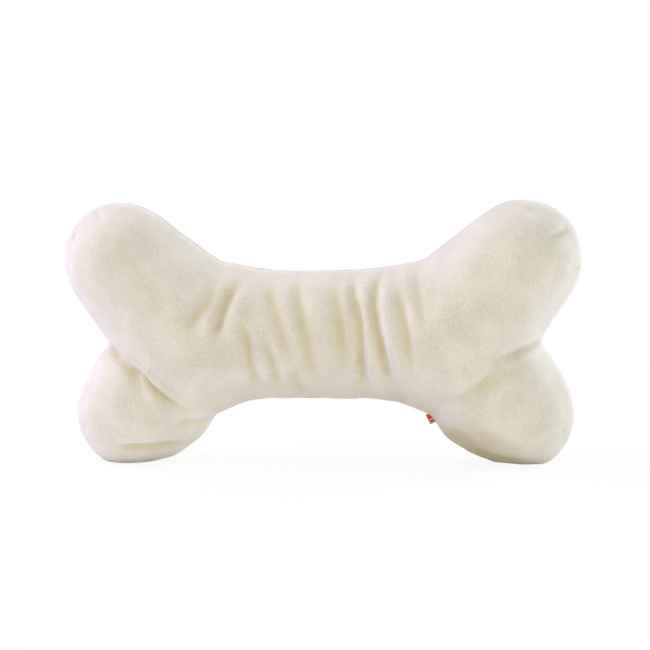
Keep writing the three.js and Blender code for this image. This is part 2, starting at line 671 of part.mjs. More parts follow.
const bone = new THREE.Group();
bone.add(
  named("front_panel", softGeometryOf(panel(-1)), velour),
  named("back_panel", softGeometryOf(panel(1)), velour),
  named("seam_thread", seamThread(), sewingThread),
  named("closing_thread", closingThread(), sewingThread),
  named("shank_fill", softGeometryOf(shankFill()), fibre),
  named("squeeze_wad", softGeometryOf(squeezeWad()), fibre),
  ...Object.entries(KNOBS).map(([name, knob]) => named(`${name}_fill`, softGeometryOf(knobFill(knob)), fibre)),
  labelGroup(),
  squeakerGroup(),
);

export default bone;
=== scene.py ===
"""Dresses the plush bone toy: velour cover, fibre filling, stitching, seam label and squeaker.

Lengths are in metres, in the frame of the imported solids: +X runs along the bone, -Y is its front
and +Z is up. The toy stands on its two lower knobs.
"""

from __future__ import annotations

import json
import logging
import math
from collections.abc import Iterator, Sequence
from contextlib import contextmanager
from dataclasses import dataclass
from enum import Enum
from typing import Any

import bpy
import numpy as np
from mathutils import Matrix, Vector, noise

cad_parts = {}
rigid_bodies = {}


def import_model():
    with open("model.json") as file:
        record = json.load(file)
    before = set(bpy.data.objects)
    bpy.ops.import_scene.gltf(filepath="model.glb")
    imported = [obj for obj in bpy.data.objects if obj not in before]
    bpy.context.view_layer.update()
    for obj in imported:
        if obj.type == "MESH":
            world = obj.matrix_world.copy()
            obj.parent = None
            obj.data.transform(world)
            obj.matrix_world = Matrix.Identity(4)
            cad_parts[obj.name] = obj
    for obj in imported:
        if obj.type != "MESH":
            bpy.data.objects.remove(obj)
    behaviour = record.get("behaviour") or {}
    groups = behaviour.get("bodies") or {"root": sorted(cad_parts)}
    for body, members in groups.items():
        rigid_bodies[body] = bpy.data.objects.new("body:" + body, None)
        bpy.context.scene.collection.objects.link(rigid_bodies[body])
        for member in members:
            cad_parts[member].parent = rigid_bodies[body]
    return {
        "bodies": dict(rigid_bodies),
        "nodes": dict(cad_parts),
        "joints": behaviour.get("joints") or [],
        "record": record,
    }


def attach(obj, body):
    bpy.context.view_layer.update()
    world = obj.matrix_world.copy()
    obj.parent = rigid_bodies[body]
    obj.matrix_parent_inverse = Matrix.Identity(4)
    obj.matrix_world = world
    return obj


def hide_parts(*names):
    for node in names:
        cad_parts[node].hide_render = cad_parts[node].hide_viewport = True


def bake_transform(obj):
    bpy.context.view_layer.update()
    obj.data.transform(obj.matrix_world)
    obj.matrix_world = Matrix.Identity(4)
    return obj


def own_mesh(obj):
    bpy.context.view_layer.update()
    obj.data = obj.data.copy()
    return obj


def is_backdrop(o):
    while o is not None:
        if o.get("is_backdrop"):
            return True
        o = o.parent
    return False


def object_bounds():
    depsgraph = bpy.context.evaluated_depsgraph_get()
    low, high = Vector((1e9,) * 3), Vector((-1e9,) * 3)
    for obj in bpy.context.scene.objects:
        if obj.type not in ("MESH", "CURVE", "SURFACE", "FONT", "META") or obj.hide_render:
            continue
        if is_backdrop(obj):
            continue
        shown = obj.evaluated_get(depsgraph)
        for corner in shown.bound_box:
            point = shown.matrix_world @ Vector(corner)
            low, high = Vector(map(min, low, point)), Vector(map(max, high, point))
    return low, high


LOG = logging.getLogger("plush_bone")
MM = 0.001
TOUCHING = 1e-6

Piece = bpy.types.Object
Colour = tuple[float, float, float, float]
Line = tuple[tuple[float, float], ...]


class Facing(Enum):
    """The side of the seam that a panel lies on, as the sign of its Y."""

    FRONT = -1
    BACK = 1


class Body(str, Enum):
    """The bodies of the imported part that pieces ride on."""

    TOY = "toy"
    WAD = "squeeze_wad"
    LABEL = "label_tab"


class Slot(str, Enum):
    """The record's material slots."""

    VELOUR = "velour"
    FIBRE = "fibre"
    THREAD = "thread"
    RIBBON = "ribbon"
    BULB = "bulb_plastic"


# Mesh helpers


def pick(*items: Piece) -> None:
    """Selects these objects alone and makes the first one active.

    Args:
        items: the objects to select.
    """
    bpy.ops.object.select_all(action="DESELECT")
    for item in items:
        item.select_set(True)
    bpy.context.view_layer.objects.active = items[0]


@contextmanager
def edit_mode(item: Piece) -> Iterator[None]:
    """Opens a mesh for editing by its vertices, and closes it again.

    Args:
        item: the object to edit.

    Yields:
        Nothing, while the mesh is open.
    """
    pick(item)
    bpy.ops.object.mode_set(mode="EDIT")
    bpy.ops.mesh.select_mode(type="VERT")
    yield
    bpy.ops.object.mode_set(mode="OBJECT")


def points_of(item: Piece) -> np.ndarray:
    """Reads a mesh's vertices.

    Args:
        item: the object to read.

    Returns:
        One row of X, Y, Z per vertex.
    """
    flat = np.empty(3 * len(item.data.vertices))
    item.data.vertices.foreach_get("co", flat)
    return flat.reshape(-1, 3)


def normals_of(item: Piece) -> np.ndarray:
    """Reads a mesh's vertex normals.

    Args:
        item: the object to read.

    Returns:
        One unit row per vertex.
    """
    flat = np.empty(3 * len(item.data.vertices))
    item.data.vertex_normals.foreach_get("vector", flat)
    return flat.reshape(-1, 3)


def place_points(item: Piece, points: np.ndarray) -> None:
    """Moves a mesh's vertices to these rows of X, Y, Z."""
    item.data.vertices.foreach_set("co", points.ravel())
    item.data.update()


def finish_with(item: Piece, kind: str, **settings: Any) -> None:
    """Adds a modifier with its settings and applies it.

    Args:
        item: the object to change.
        kind: the modifier's type.
        settings: values of the modifier.
    """
    pick(item)
    modifier = item.modifiers.new(kind.title(), kind)
    for name, value in settings.items():
        setattr(modifier, name, value)
    bpy.ops.object.modifier_apply(modifier=modifier.name)


def subdivide_smoothly(item: Piece, levels: int = 1) -> None:
    """Applies a subdivision surface of so many levels."""
    finish_with(item, "SUBSURF", levels=levels, render_levels=levels)


def shade_smooth(item: Piece) -> None:
    """Shades an object smoothly all over."""
    pick(item)
    bpy.ops.object.shade_smooth()


def select_open_edge() -> None:
    """Selects the open edge of the mesh that is being edited."""
    bpy.ops.mesh.select_mode(type="EDGE")
    bpy.ops.mesh.select_all(action="DESELECT")
    bpy.ops.mesh.select_non_manifold(
        use_wire=False, use_multi_face=False, use_non_contiguous=False, use_verts=False
    )


def repaint(item: Piece, material: bpy.types.Material) -> None:
    """Gives an object this material alone."""
    item.data.materials.clear()
    item.data.materials.append(material)


def copy_of(item: Piece, name: str) -> Piece:
    """Copies an object's mesh into a new object, with its doubles merged.

    Args:
        item: the object to copy.
        name: the new object's name.

    Returns:
        The new object, at the origin and with no parent.
    """
    made = bpy.data.objects.new(name, item.data.copy())
    bpy.context.scene.collection.objects.link(made)
    made.data.materials.clear()
    with edit_mode(made):
        bpy.ops.mesh.select_all(action="SELECT")
        bpy.ops.mesh.remove_doubles(threshold=TOUCHING)
    return made


def join(parts: Sequence[Piece], name: str) -> Piece:
    """Joins objects into the first of them.

    Args:
        parts: the objects to join.
        name: the joined object's name.

    Returns:
        The joined object.
    """
    pick(*parts)
    bpy.ops.object.join()
    parts[0].name = parts[0].data.name = name
    return parts[0]


def ramp(low: float, high: float, value: np.ndarray) -> np.ndarray:
    """Rises smoothly from 0 at low to 1 at high, which may lie below low."""
    share = np.clip((value - low) / (high - low), 0, 1)
    return share * share * (3 - 2 * share)


def lumps(points: np.ndarray, spacing: float, seed: float) -> np.ndarray:
    """Rates places from about -1 to 1 by even noise, the same each time; the seed moves its pattern."""
    shift = Vector((seed, 2 * seed, 3 * seed))
    return np.array([noise.noise(Vector(row) / spacing + shift) for row in points])


# Material helpers


class NodeSheet:
    """Adds and links the nodes of one material or node group."""

    def __init__(self, tree: bpy.types.NodeTree) -> None:
        """Starts on an emptied tree."""
        self.tree = tree
        tree.nodes.clear()

    def add(self, kind: str, inputs: dict[Any, Any] | None = None, **settings: Any) -> bpy.types.Node:
        """Adds a node.

        Args:
            kind: the node's type without its ShaderNode prefix, or in full for a group's ends.
            inputs: values or source sockets by input name or number.
            settings: the node's own properties.

        Returns:
            The node.
        """
        node = self.tree.nodes.new(kind if kind.startswith("Node") else "ShaderNode" + kind)
        for name, value in settings.items():
            setattr(node, name, value)
        for name, value in (inputs or {}).items():
            if isinstance(value, bpy.types.NodeSocket):
                self.link(value, node.inputs[name])
            else:
                node.inputs[name].default_value = value
        return node

    def link(self, source: bpy.types.NodeSocket, target: bpy.types.NodeSocket) -> None:
        """Links an output to an input."""
        self.tree.links.new(source, target)

    def mix(self, share: Any, low: Any, high: Any) -> bpy.types.NodeSocket:
        """Mixes two colours, by a share of the second."""
        return self.add("Mix", {0: share, 6: low, 7: high}, data_type="RGBA").outputs[2]

    def sums(self, operation: str, *values: Any) -> bpy.types.NodeSocket:
        """Does sums on sockets or numbers."""
        return self.add("Math", dict(enumerate(values)), operation=operation).outputs[0]

    def spread(self, value: Any, start: float, end: float, low: float, high: float) -> bpy.types.NodeSocket:
        """Maps values from start to end onto low to high, and keeps within them."""
        return self.add("MapRange", {0: value, 1: start, 2: end, 3: low, 4: high}).outputs[0]

    def bump(self, height: bpy.types.NodeSocket, distance: float, strength: float) -> bpy.types.NodeSocket:
        """Turns a height into a normal; a height of 1 stands up by the distance."""
        node = self.add("Bump", {"Strength": strength, "Distance": distance, "Height": height})
        return node.outputs["Normal"]

    def feed(self, shader: bpy.types.Node, **sockets: bpy.types.NodeSocket) -> None:
        """Links sockets to a shader's inputs, which are named with underscores for spaces."""
        for name, socket in sockets.items():
            self.link(socket, shader.inputs[name.replace("_", " ")])


def node_group(name: str, inputs: dict[str, str], outputs: dict[str, str]) -> tuple[NodeSheet, Any, Any]:
    """Starts a shader node group with named sockets.

    Args:
        name: the group's name.
        inputs: socket kinds by input name.
        outputs: socket kinds by output name.

    Returns:
        The group's sheet, its input node and its output node.
    """
    tree = bpy.data.node_groups.new(name, "ShaderNodeTree")
    for direction, sockets in (("INPUT", inputs), ("OUTPUT", outputs)):
        for socket, kind in sockets.items():
            tree.interface.new_socket(socket, in_out=direction, socket_type="NodeSocket" + kind)
    sheet = NodeSheet(tree)
    return sheet, sheet.add("NodeGroupInput"), sheet.add("NodeGroupOutput")


class Effects:
    """The shader effects that several finishes share, each built once."""

    PATCH_RANGE = (0.32, 0.68)
    GRAIN_RANGE = (0.3, 0.7)
    TIPS_PER_GRAIN = 2.7
    TIP_DEPTH = -0.5
    YARN_HEIGHT = 0.35
    SKIN_PER_FLOW = 9.0

    def __init__(self) -> None:
        """Builds the node groups."""
        self.nap = self._nap()
        self.yarns = self._yarns()
        self.moulding = self._moulding()

    def brushed(self, sheet: NodeSheet, place: bpy.types.NodeSocket, patch: float, grain: float) -> Any:
        """Puts the brushed nap in a material, at these scales, and gives its outputs."""
        scales = {"Place": place, "Patch Scale": patch, "Grain Scale": grain}
        return sheet.add("Group", scales, node_tree=self.nap).outputs

    def _nap(self) -> bpy.types.NodeTree:
        """Builds brushed fibre: patches that lie differently, and a fine grain.

        Returns:
            The node group.
        """
        sheet, given, made = node_group(
            "brushed_nap",
            {"Place": "Vector", "Patch Scale": "Float", "Grain Scale": "Float"},
            {"Patch": "Float", "Grain": "Float", "Height": "Float"},
        )
        place, patch_scale, grain_scale = (
            given.outputs[name] for name in ("Place", "Patch Scale", "Grain Scale")
        )
        patch = sheet.add("TexNoise", {"Vector": place, "Scale": patch_scale, "Detail": 4.0}).outputs["Fac"]
        fine = {"Vector": place, "Scale": grain_scale, "Detail": 3.0, "Roughness": 0.65}
        grain = sheet.add("TexNoise", fine).outputs["Fac"]
        tip_scale = sheet.sums("MULTIPLY", grain_scale, self.TIPS_PER_GRAIN)
        tips = sheet.add("TexVoronoi", {"Vector": place, "Scale": tip_scale}).outputs["Distance"]
        sheet.feed(
            made,
            Patch=sheet.spread(patch, *self.PATCH_RANGE, 0.0, 1.0),
            Grain=sheet.spread(grain, *self.GRAIN_RANGE, 0.0, 1.0),
            Height=sheet.sums("MULTIPLY_ADD", tips, self.TIP_DEPTH, grain),
        )
        return sheet.tree

    def _yarns(self) -> bpy.types.NodeTree:
        """Builds crossed yarns: ribs one way, finer yarns the other.

        Returns:
            The node group.
        """
        sheet, given, made = node_group(
            "crossed_yarns",
            {"Place": "Vector", "Ribs": "Float", "Yarns": "Float"},
            {"Rib": "Float", "Height": "Float"},
        )
        parts = sheet.add("SeparateXYZ", {0: given.outputs["Place"]})
        waves = []
        for axis, count in (("Y", "Ribs"), ("X", "Yarns")):
            turns = sheet.sums("MULTIPLY", parts.outputs[axis], given.outputs[count])
            wave = sheet.sums("SINE", sheet.sums("MULTIPLY", turns, math.tau))
            waves.append(sheet.sums("MULTIPLY_ADD", wave, 0.5, 0.5))
        rib, yarn = waves
        sheet.feed(made, Rib=rib, Height=sheet.sums("MULTIPLY_ADD", yarn, self.YARN_HEIGHT, rib))
        return sheet.tree

    def _moulding(self) -> bpy.types.NodeTree:
        """Builds the faint flow marks and fine skin of moulded plastic.

        Returns:
            The node group.
        """
        sheet, given, made = node_group(
            "moulded_skin", {"Place": "Vector", "Scale": "Float"}, {"Flow": "Float", "Height": "Float"}
        )
        place, scale = given.outputs["Place"], given.outputs["Scale"]
        flow = sheet.add("TexNoise", {"Vector": place, "Scale": scale, "Detail": 2.0, "Distortion": 0.6})
        skin_scale = sheet.sums("MULTIPLY", scale, self.SKIN_PER_FLOW)
        skin = sheet.add("TexNoise", {"Vector": place, "Scale": skin_scale, "Detail": 1.0})
        sheet.feed(made, Flow=flow.outputs["Fac"], Height=skin.outputs["Fac"])
        return sheet.tree


def new_material(name: str, **shader: Any) -> tuple[bpy.types.Material, NodeSheet, bpy.types.Node]:
    """Starts a material on a Principled shader.

    Args:
        name: the material's name.
        shader: plain values of the shader's sockets, with underscores for spaces.

    Returns:
        The material, its sheet and its Principled node.
    """
    material = bpy.data.materials.new(name)
    material.use_nodes = True
    sheet = NodeSheet(material.node_tree)
    principled = sheet.add("BsdfPrincipled", {key.replace("_", " "): value for key, value in shader.items()})
    sheet.add("OutputMaterial", {"Surface": principled.outputs["BSDF"]})
    return material, sheet, principled


# Finishes


@dataclass(frozen=True)
class VelourFinish:
    """Cream knitted velour with a short brushed pile; its colour carries painted sheen at grazing views, a
    painted highlight on crests and painted shade in creases.
    """

    light: Colour = (0.845, 0.798, 0.675, 1.0)
    deep: Colour = (0.615, 0.572, 0.44, 1.0)
    # The crease colour is painted shade, mixed in by the crease mark.
    crease: Colour = (0.60, 0.515, 0.26, 1.0)
    # The two tip colours are a painted sheen, mixed in at grazing views and on crests.
    light_painted_sheen: Colour = (0.95, 0.94, 0.98, 1.0)
    deep_painted_sheen: Colour = (0.82, 0.805, 0.825, 1.0)
    sheen: Colour = (1.0, 0.96, 1.0, 1.0)
    patch_scale: float = 58.0
    grain_scale: float = 780.0
    wale_scale: float = 190.0
    patch_share: float = 0.35
    grain_share: float = 0.52
    wale_share: float = 0.13
    painted_shade_share: float = 0.75
    crest_highlight_share: float = 0.25
    painted_sheen_share: float = 0.9
    painted_sheen_power: float = 1.1
    roughness: tuple[float, float] = (1.0, 0.86)
    pile: float = 0.7 * MM
    pile_bump: float = 0.6

    def material(self, effects: Effects) -> bpy.types.Material:
        """Builds the material.

        Args:
            effects: the shared shader effects.

        Returns:
            The material.
        """
        made, sheet, shader = new_material(
            "velour", Sheen_Weight=0.5, Sheen_Roughness=0.5, Sheen_Tint=self.sheen, Specular_IOR_Level=0.1
        )
        place = sheet.add("TexCoord").outputs["Object"]
        nap = effects.brushed(sheet, place, self.patch_scale, self.grain_scale)
        wave = {"Vector": place, "Scale": self.wale_scale, "Distortion": 2.5, "Detail": 2.0}
        wales = sheet.add("TexWave", wave).outputs["Fac"]
        patches = sheet.sums("MULTIPLY", nap["Patch"], self.patch_share)
        ribbed = sheet.sums("MULTIPLY_ADD", wales, self.wale_share, patches)
        share = sheet.sums("MULTIPLY_ADD", nap["Grain"], self.grain_share, ribbed)
        crease_shade_mark, painted_ridge_light, brushed = (
            sheet.add("Attribute", attribute_name=mark).outputs["Fac"] for mark in ("crease", "crest", "nap")
        )
        open_cloth = sheet.mix(share, self.deep, self.light)
        # Painted shade: the crease mark deepens the colour in creases and under the lower right knob, and
        # gives the waist a deeper tone.
        cloth = sheet.mix(sheet.sums("MULTIPLY", crease_shade_mark, self.painted_shade_share), open_cloth, self.crease)
        # Painted sheen: where the surface is seen at a grazing angle and the nap mark allows it, and on
        # crests as a painted highlight, pale pile-tip colour is mixed into the base colour.
        slanting = sheet.add("LayerWeight", {"Blend": 0.5}).outputs["Facing"]
        grazing_sheen = sheet.sums("MULTIPLY", sheet.sums("POWER", slanting, self.painted_sheen_power), brushed)
        shown = sheet.sums("MAXIMUM", grazing_sheen, sheet.sums("MULTIPLY", painted_ridge_light, self.crest_highlight_share))
        tips = sheet.mix(share, self.deep_painted_sheen, self.light_painted_sheen)
        sheet.feed(
            shader,
            Base_Color=sheet.mix(sheet.sums("MULTIPLY", shown, self.painted_sheen_share), cloth, tips),
            Roughness=sheet.spread(nap["Grain"], 0.0, 1.0, *self.roughness),
            Normal=sheet.bump(nap["Height"], self.pile, self.pile_bump),
        )
        return made


@dataclass(frozen=True)
class FibreFinish:
    """White polyester fibre, teased into soft wads."""

    light: Colour = (0.90, 0.895, 0.87, 1.0)
    deep: Colour = (0.74, 0.73, 0.70, 1.0)
    patch_scale: float = 120.0
    grain_scale: float = 1500.0
    roughness: tuple[float, float] = (1.0, 0.8)
    tuft: float = 0.8 * MM
    tuft_bump: float = 0.8

    def material(self, effects: Effects) -> bpy.types.Material:
        """Builds the material.

        Args:
            effects: the shared shader effects.

        Returns:
            The material.
        """
        made, sheet, shader = new_material("fibre", Sheen_Weight=0.3, Specular_IOR_Level=0.2)
        place = sheet.add("TexCoord").outputs["Object"]
        nap = effects.brushed(sheet, place, self.patch_scale, self.grain_scale)
        sheet.feed(
            shader,
            Base_Color=sheet.mix(nap["Patch"], self.deep, self.light),
            Roughness=sheet.spread(nap["Grain"], 0.0, 1.0, *self.roughness),
            Normal=sheet.bump(nap["Height"], self.tuft, self.tuft_bump),
        )
        return made


@dataclass(frozen=True)
class ThreadFinish:
    """Cream sewing thread of twisted plies."""

    light: Colour = (0.82, 0.77, 0.66, 1.0)
    deep: Colour = (0.60, 0.54, 0.43, 1.0)
    twist_scale: float = 900.0
    patch_scale: float = 300.0
    fuzz_scale: float = 4000.0
    roughness: tuple[float, float] = (0.85, 0.6)
    ply: float = 0.08 * MM
    ply_bump: float = 0.7

    def material(self, effects: Effects) -> bpy.types.Material:
        """Builds the material.

        Args:
            effects: the shared shader effects.

        Returns:
            The material.
        """
        made, sheet, shader = new_material("thread", Sheen_Weight=0.15, Specular_IOR_Level=0.3)
        place = sheet.add("TexCoord").outputs["Object"]
        wave = {"Vector": place, "Scale": self.twist_scale}
        twist = sheet.add("TexWave", wave, bands_direction="DIAGONAL").outputs["Fac"]
        fuzz = effects.brushed(sheet, place, self.patch_scale, self.fuzz_scale)
        sheet.feed(
            shader,
            Base_Color=sheet.mix(twist, self.deep, self.light),
            Roughness=sheet.spread(fuzz["Grain"], 0.0, 1.0, *self.roughness),
            Normal=sheet.bump(twist, self.ply, self.ply_bump),
        )
        return made


@dataclass(frozen=True)
class RibbonFinish:
    """Woven label ribbon: a red band, a white stripe and a darker red band with a thin line, side by side."""

    red: Colour = (0.78, 0.058, 0.014, 1.0)
    white: Colour = (0.88, 0.80, 0.76, 1.0)
    dark_red: Colour = (0.36, 0.026, 0.020, 1.0)
    gap: Colour = (0.06, 0.02, 0.02, 1.0)
    stripe_start: float = 0.54
    stripe_end: float = 0.64
    line_start: float = 0.80
    line_end: float = 0.86
    ribs: float = 34.0
    yarns: float = 28.0
    gap_share: float = 0.25
    roughness: tuple[float, float] = (0.8, 0.5)
    yarn: float = 0.06 * MM
    yarn_bump: float = 0.6

    def material(self, effects: Effects) -> bpy.types.Material:
        """Builds the material on the ribbon's own UV map, whose X runs across its width.

        Args:
            effects: the shared shader effects.

        Returns:
            The material.
        """
        made, sheet, shader = new_material("ribbon", Sheen_Weight=0.2, Specular_IOR_Level=0.35)
        place = sheet.add("TexCoord").outputs["UV"]
        across = sheet.add("SeparateXYZ", {0: place}).outputs["X"]
        past_red = sheet.sums("GREATER_THAN", across, self.stripe_start)
        past_white = sheet.sums("GREATER_THAN", across, self.stripe_end)
        bands = sheet.mix(past_white, sheet.mix(past_red, self.red, self.white), self.dark_red)
        past_line = sheet.sums("GREATER_THAN", across, self.line_end)
        on_line = sheet.sums("SUBTRACT", sheet.sums("GREATER_THAN", across, self.line_start), past_line)
        bands = sheet.mix(on_line, bands, self.white)
        counts = {"Place": place, "Ribs": self.ribs, "Yarns": self.yarns}
        yarns = sheet.add("Group", counts, node_tree=effects.yarns).outputs
        between = sheet.spread(yarns["Rib"], 0.0, 1.0, self.gap_share, 0.0)
        sheet.feed(
            shader,
            Base_Color=sheet.mix(between, bands, self.gap),
            Roughness=sheet.spread(yarns["Rib"], 0.0, 1.0, *self.roughness),
            Normal=sheet.bump(yarns["Height"], self.yarn, self.yarn_bump),
        )
        return made


@dataclass(frozen=True)
class PlasticFinish:
    """Moulded plastic with faint flow marks."""

    name: str
    light: Colour
    deep: Colour
    roughness: tuple[float, float] = (0.32, 0.48)
    scale: float = 260.0
    flow_range: tuple[float, float] = (0.3, 0.7)
    skin: float = 0.03 * MM
    skin_bump: float = 0.3

    def material(self, effects: Effects) -> bpy.types.Material:
        """Builds the material.

        Args:
            effects: the shared shader effects.

        Returns:
            The material.
        """
        made, sheet, shader = new_material(self.name, Specular_IOR_Level=0.45)
        place = sheet.add("TexCoord").outputs["Object"]
        skin = sheet.add("Group", {"Place": place, "Scale": self.scale}, node_tree=effects.moulding).outputs
        sheet.feed(
            shader,
            Base_Color=sheet.mix(skin["Flow"], self.deep, self.light),
            Roughness=sheet.spread(skin["Flow"], *self.flow_range, *self.roughness),
            Normal=sheet.bump(skin["Height"], self.skin, self.skin_bump),
        )
        return made


BULB_PLASTIC = PlasticFinish("bulb_plastic", (0.78, 0.83, 0.81, 1.0), (0.68, 0.74, 0.73, 1.0))
PLUG_PLASTIC = PlasticFinish("plug_plastic", (0.88, 0.88, 0.85, 1.0), (0.80, 0.80, 0.77, 1.0), (0.26, 0.40))
REED_FILM = PlasticFinish("reed_film", (0.62, 0.47, 0.20, 1.0), (0.52, 0.38, 0.15, 1.0), (0.18, 0.30))


# Cover


@dataclass(frozen=True)
class Fold:
    """A crease in the cover: its line as X and Z, how deep it is pressed and how wide, in millimetres.

    The two widths are those of its left and its right flank, seen along the line. The two lips are the
    shares of the depth that stand up beyond each flank, and the two fades are the shares of the line's
    length over which its ends run out.
    """

    line: Line
    depth: float
    width: tuple[float, float]
    lip: tuple[float, float] = (0.2, 0.14)
    fade: tuple[float, float] = (0.3, 0.3)

    STEPS = 8
    LIP_PLACE = 2.2
    LIP_SPREAD = 1.3

    @property
    def breadth(self) -> float:
        """Gives the narrower flank's width."""
        return min(self.width)

    def _track(self) -> np.ndarray:
        """Draws a smooth line through the fold's points.

        Returns:
            Rows of X and Z in metres.
        """
        knots = np.array([self.line[0], *self.line, self.line[-1]]) * MM
        track = []
        for a, b, c, d in zip(knots, knots[1:], knots[2:], knots[3:]):
            for t in np.linspace(0, 1, self.STEPS, endpoint=False):
                bent = 2 * b + (c - a) * t + (2 * a - 5 * b + 4 * c - d) * t**2
                track.append(0.5 * (bent + (3 * b - a - 3 * c + d) * t**3))
        return np.array([*track, knots[-1]])

    def rise(self, places: np.ndarray) -> np.ndarray:
        """Says how far the cloth stands up or sinks along this fold.

        Args:
            places: rows of X and Z.

        Returns:
            The rise at each place, negative in the crease.
        """
        track = self._track()
        steps = np.diff(track, axis=0)
        lengths = np.maximum(np.linalg.norm(steps, axis=1), 1e-9)
        run = np.concatenate(([0.0], np.cumsum(lengths)))
        near = np.full(len(places), np.inf)
        on_left = np.zeros(len(places), dtype=bool)
        along = np.zeros(len(places))
        for start, step, length, before in zip(track, steps, lengths, run):
            offset = places - start
            share = np.clip((offset @ step) / length**2, 0, 1)
            gap = np.linalg.norm(offset - share[:, None] * step, axis=1)
            closer = gap < near
            near = np.where(closer, gap, near)
            on_left = np.where(closer, step[0] * offset[:, 1] > step[1] * offset[:, 0], on_left)
            along = np.where(closer, before + share * length, along)
        share = along / run[-1]
        strength = ramp(0.0, self.fade[0], share) * ramp(1.0, 1 - self.fade[1], share)
        spread = near / (np.where(on_left, *self.width) * MM)
        lip = np.where(on_left, *self.lip) * np.exp(-((spread - self.LIP_PLACE) ** 2) / self.LIP_SPREAD)
        return self.depth * MM * strength * (lip - np.exp(-(spread**2)))


@dataclass(frozen=True)
class Dimple:
    """A soft round dip: its middle as X and Z, its radius and its depth, in millimetres."""

    middle: tuple[float, float]
    radius: float
    depth: float

    @property
    def breadth(self) -> float:
        """Gives the dip's radius."""
        return self.radius

    def rise(self, places: np.ndarray) -> np.ndarray:
        """Says how far the cloth sinks, as a negative rise at each row of X and Z."""
        away = np.linalg.norm(places - np.array(self.middle) * MM, axis=1) / (self.radius * MM)
        return -self.depth * MM * np.exp(-(away**2))


FRONT_FOLDS: tuple[Fold | Dimple, ...] = (
    Fold(((-62, 121), (-64, 106), (-71, 97), (-82, 85)), 1.8, (4.0, 5.0)),
    Fold(((-48, 120), (-53, 106), (-57, 96), (-63, 80)), 2.3, (3.4, 4.4)),
    Fold(((-47, 96), (-42, 85), (-40, 67), (-36, 49)), 1.9, (2.6, 4.0)),
    Fold(((-32, 86), (-28, 70), (-25, 50)), 1.8, (2.4, 3.8)),
    Fold(((-33, 122), (-28, 109), (-22, 93), (-16, 67)), 1.4, (3.2, 4.2)),
    Fold(((-15, 123), (-11, 108), (-6, 88), (-4, 73), (0, 52)), 1.6, (3.2, 4.4)),
    Fold(((-15, 68), (-11, 43)), 1.2, (2.6, 3.2)),
    Fold(((10, 122), (13, 108), (16, 92), (18, 60)), 1.8, (3.4, 5.0)),
    Fold(((18, 125), (23, 110), (27, 97), (28, 83), (28, 70), (28, 45)), 2.8, (2.7, 4.2), (0.25, 0.1)),
    Fold(((42, 128), (37, 114), (36, 102), (38, 88), (42, 69), (46, 46)), 2.8, (2.8, 4.2), (0.2, 0.1)),
    Fold(((45, 120), (43, 102), (45, 88), (49, 69), (53, 50)), -1.1, (3.4, 3.2), (0.0, 0.0)),
    Fold(((47, 120), (52, 105), (55, 93), (57, 81), (59, 60)), 1.6, (2.6, 3.8)),
    Fold(((60, 126), (63, 110), (64, 105), (67, 90)), 1.2, (3.0, 3.8)),
    Fold(
        (
            (-140, 80), (-132, 75.5), (-123, 70.5), (-115, 65), (-107, 59),
            (-101, 53.5), (-95, 48), (-87, 41), (-78, 32),
        ),
        2.6, (1.5, 3.8), (0.4, 0.1), (0.15, 0.35),
    ),
    Fold(((-108, 60), (-101, 53.5), (-95, 48), (-87, 41)), 0.6, (1.1, 2.0), (0.4, 0.0), (0.3, 0.4)),
    Fold(
        ((-133, 74), (-127, 70), (-118, 63), (-111, 55), (-106, 49)), 1.7, (1.9, 3.4), (0.5, 0.1), (0.2, 0.5)
    ),
    Fold(((-90, 30), (-83, 29.5), (-76, 28), (-66, 29)), 1.8, (2.8, 3.5), (0.4, 0.1)),
    Fold(((-132, 14), (-118, 14), (-106, 13.7), (-92, 14.2), (-80, 14)), 2.3, (2.5, 3.4), (0.25, 0.4)),
    Fold(
        ((136, 78), (128, 75.6), (122, 73.4), (116, 71), (106, 70)), 2.5, (2.4, 2.6), (0.25, 0.3), (0.25, 0.6)
    ),
    Fold(((138, 79), (128, 75.6), (118, 72), (106, 71)), -1.4, (6.0, 6.0), (0.0, 0.0), (0.1, 0.3)),
    Fold(((140, 74), (116, 62), (97, 54), (81, 46), (64, 40)), -3.0, (11.0, 11.0), (0.0, 0.0), (0.2, 0.3)),
    Fold(((132, 66), (118, 60), (104, 54.5), (90, 49), (74, 43)), 1.0, (4.0, 5.0), (0.2, 0.2)),
    Fold(((74, 28), (88, 18), (104, 7), (122, 4), (142, 3)), 1.6, (3.5, 6.0), (0.1, 0.0), (0.3, 0.2)),
    Fold(((92, 11.5), (100, 8), (110, 5), (126, 1.5)), 1.7, (1.6, 4.5), (0.3, 0.0), (0.25, 0.35)),
    Fold(((154, 147), (149, 145), (143, 143.5), (136, 143)), 1.8, (2.4, 2.2), (0.1, 0.5), (0.4, 0.5)),
    Dimple((-105, 140), 12, 2.0),
    Dimple((-114, 40), 9, 1.6),
)
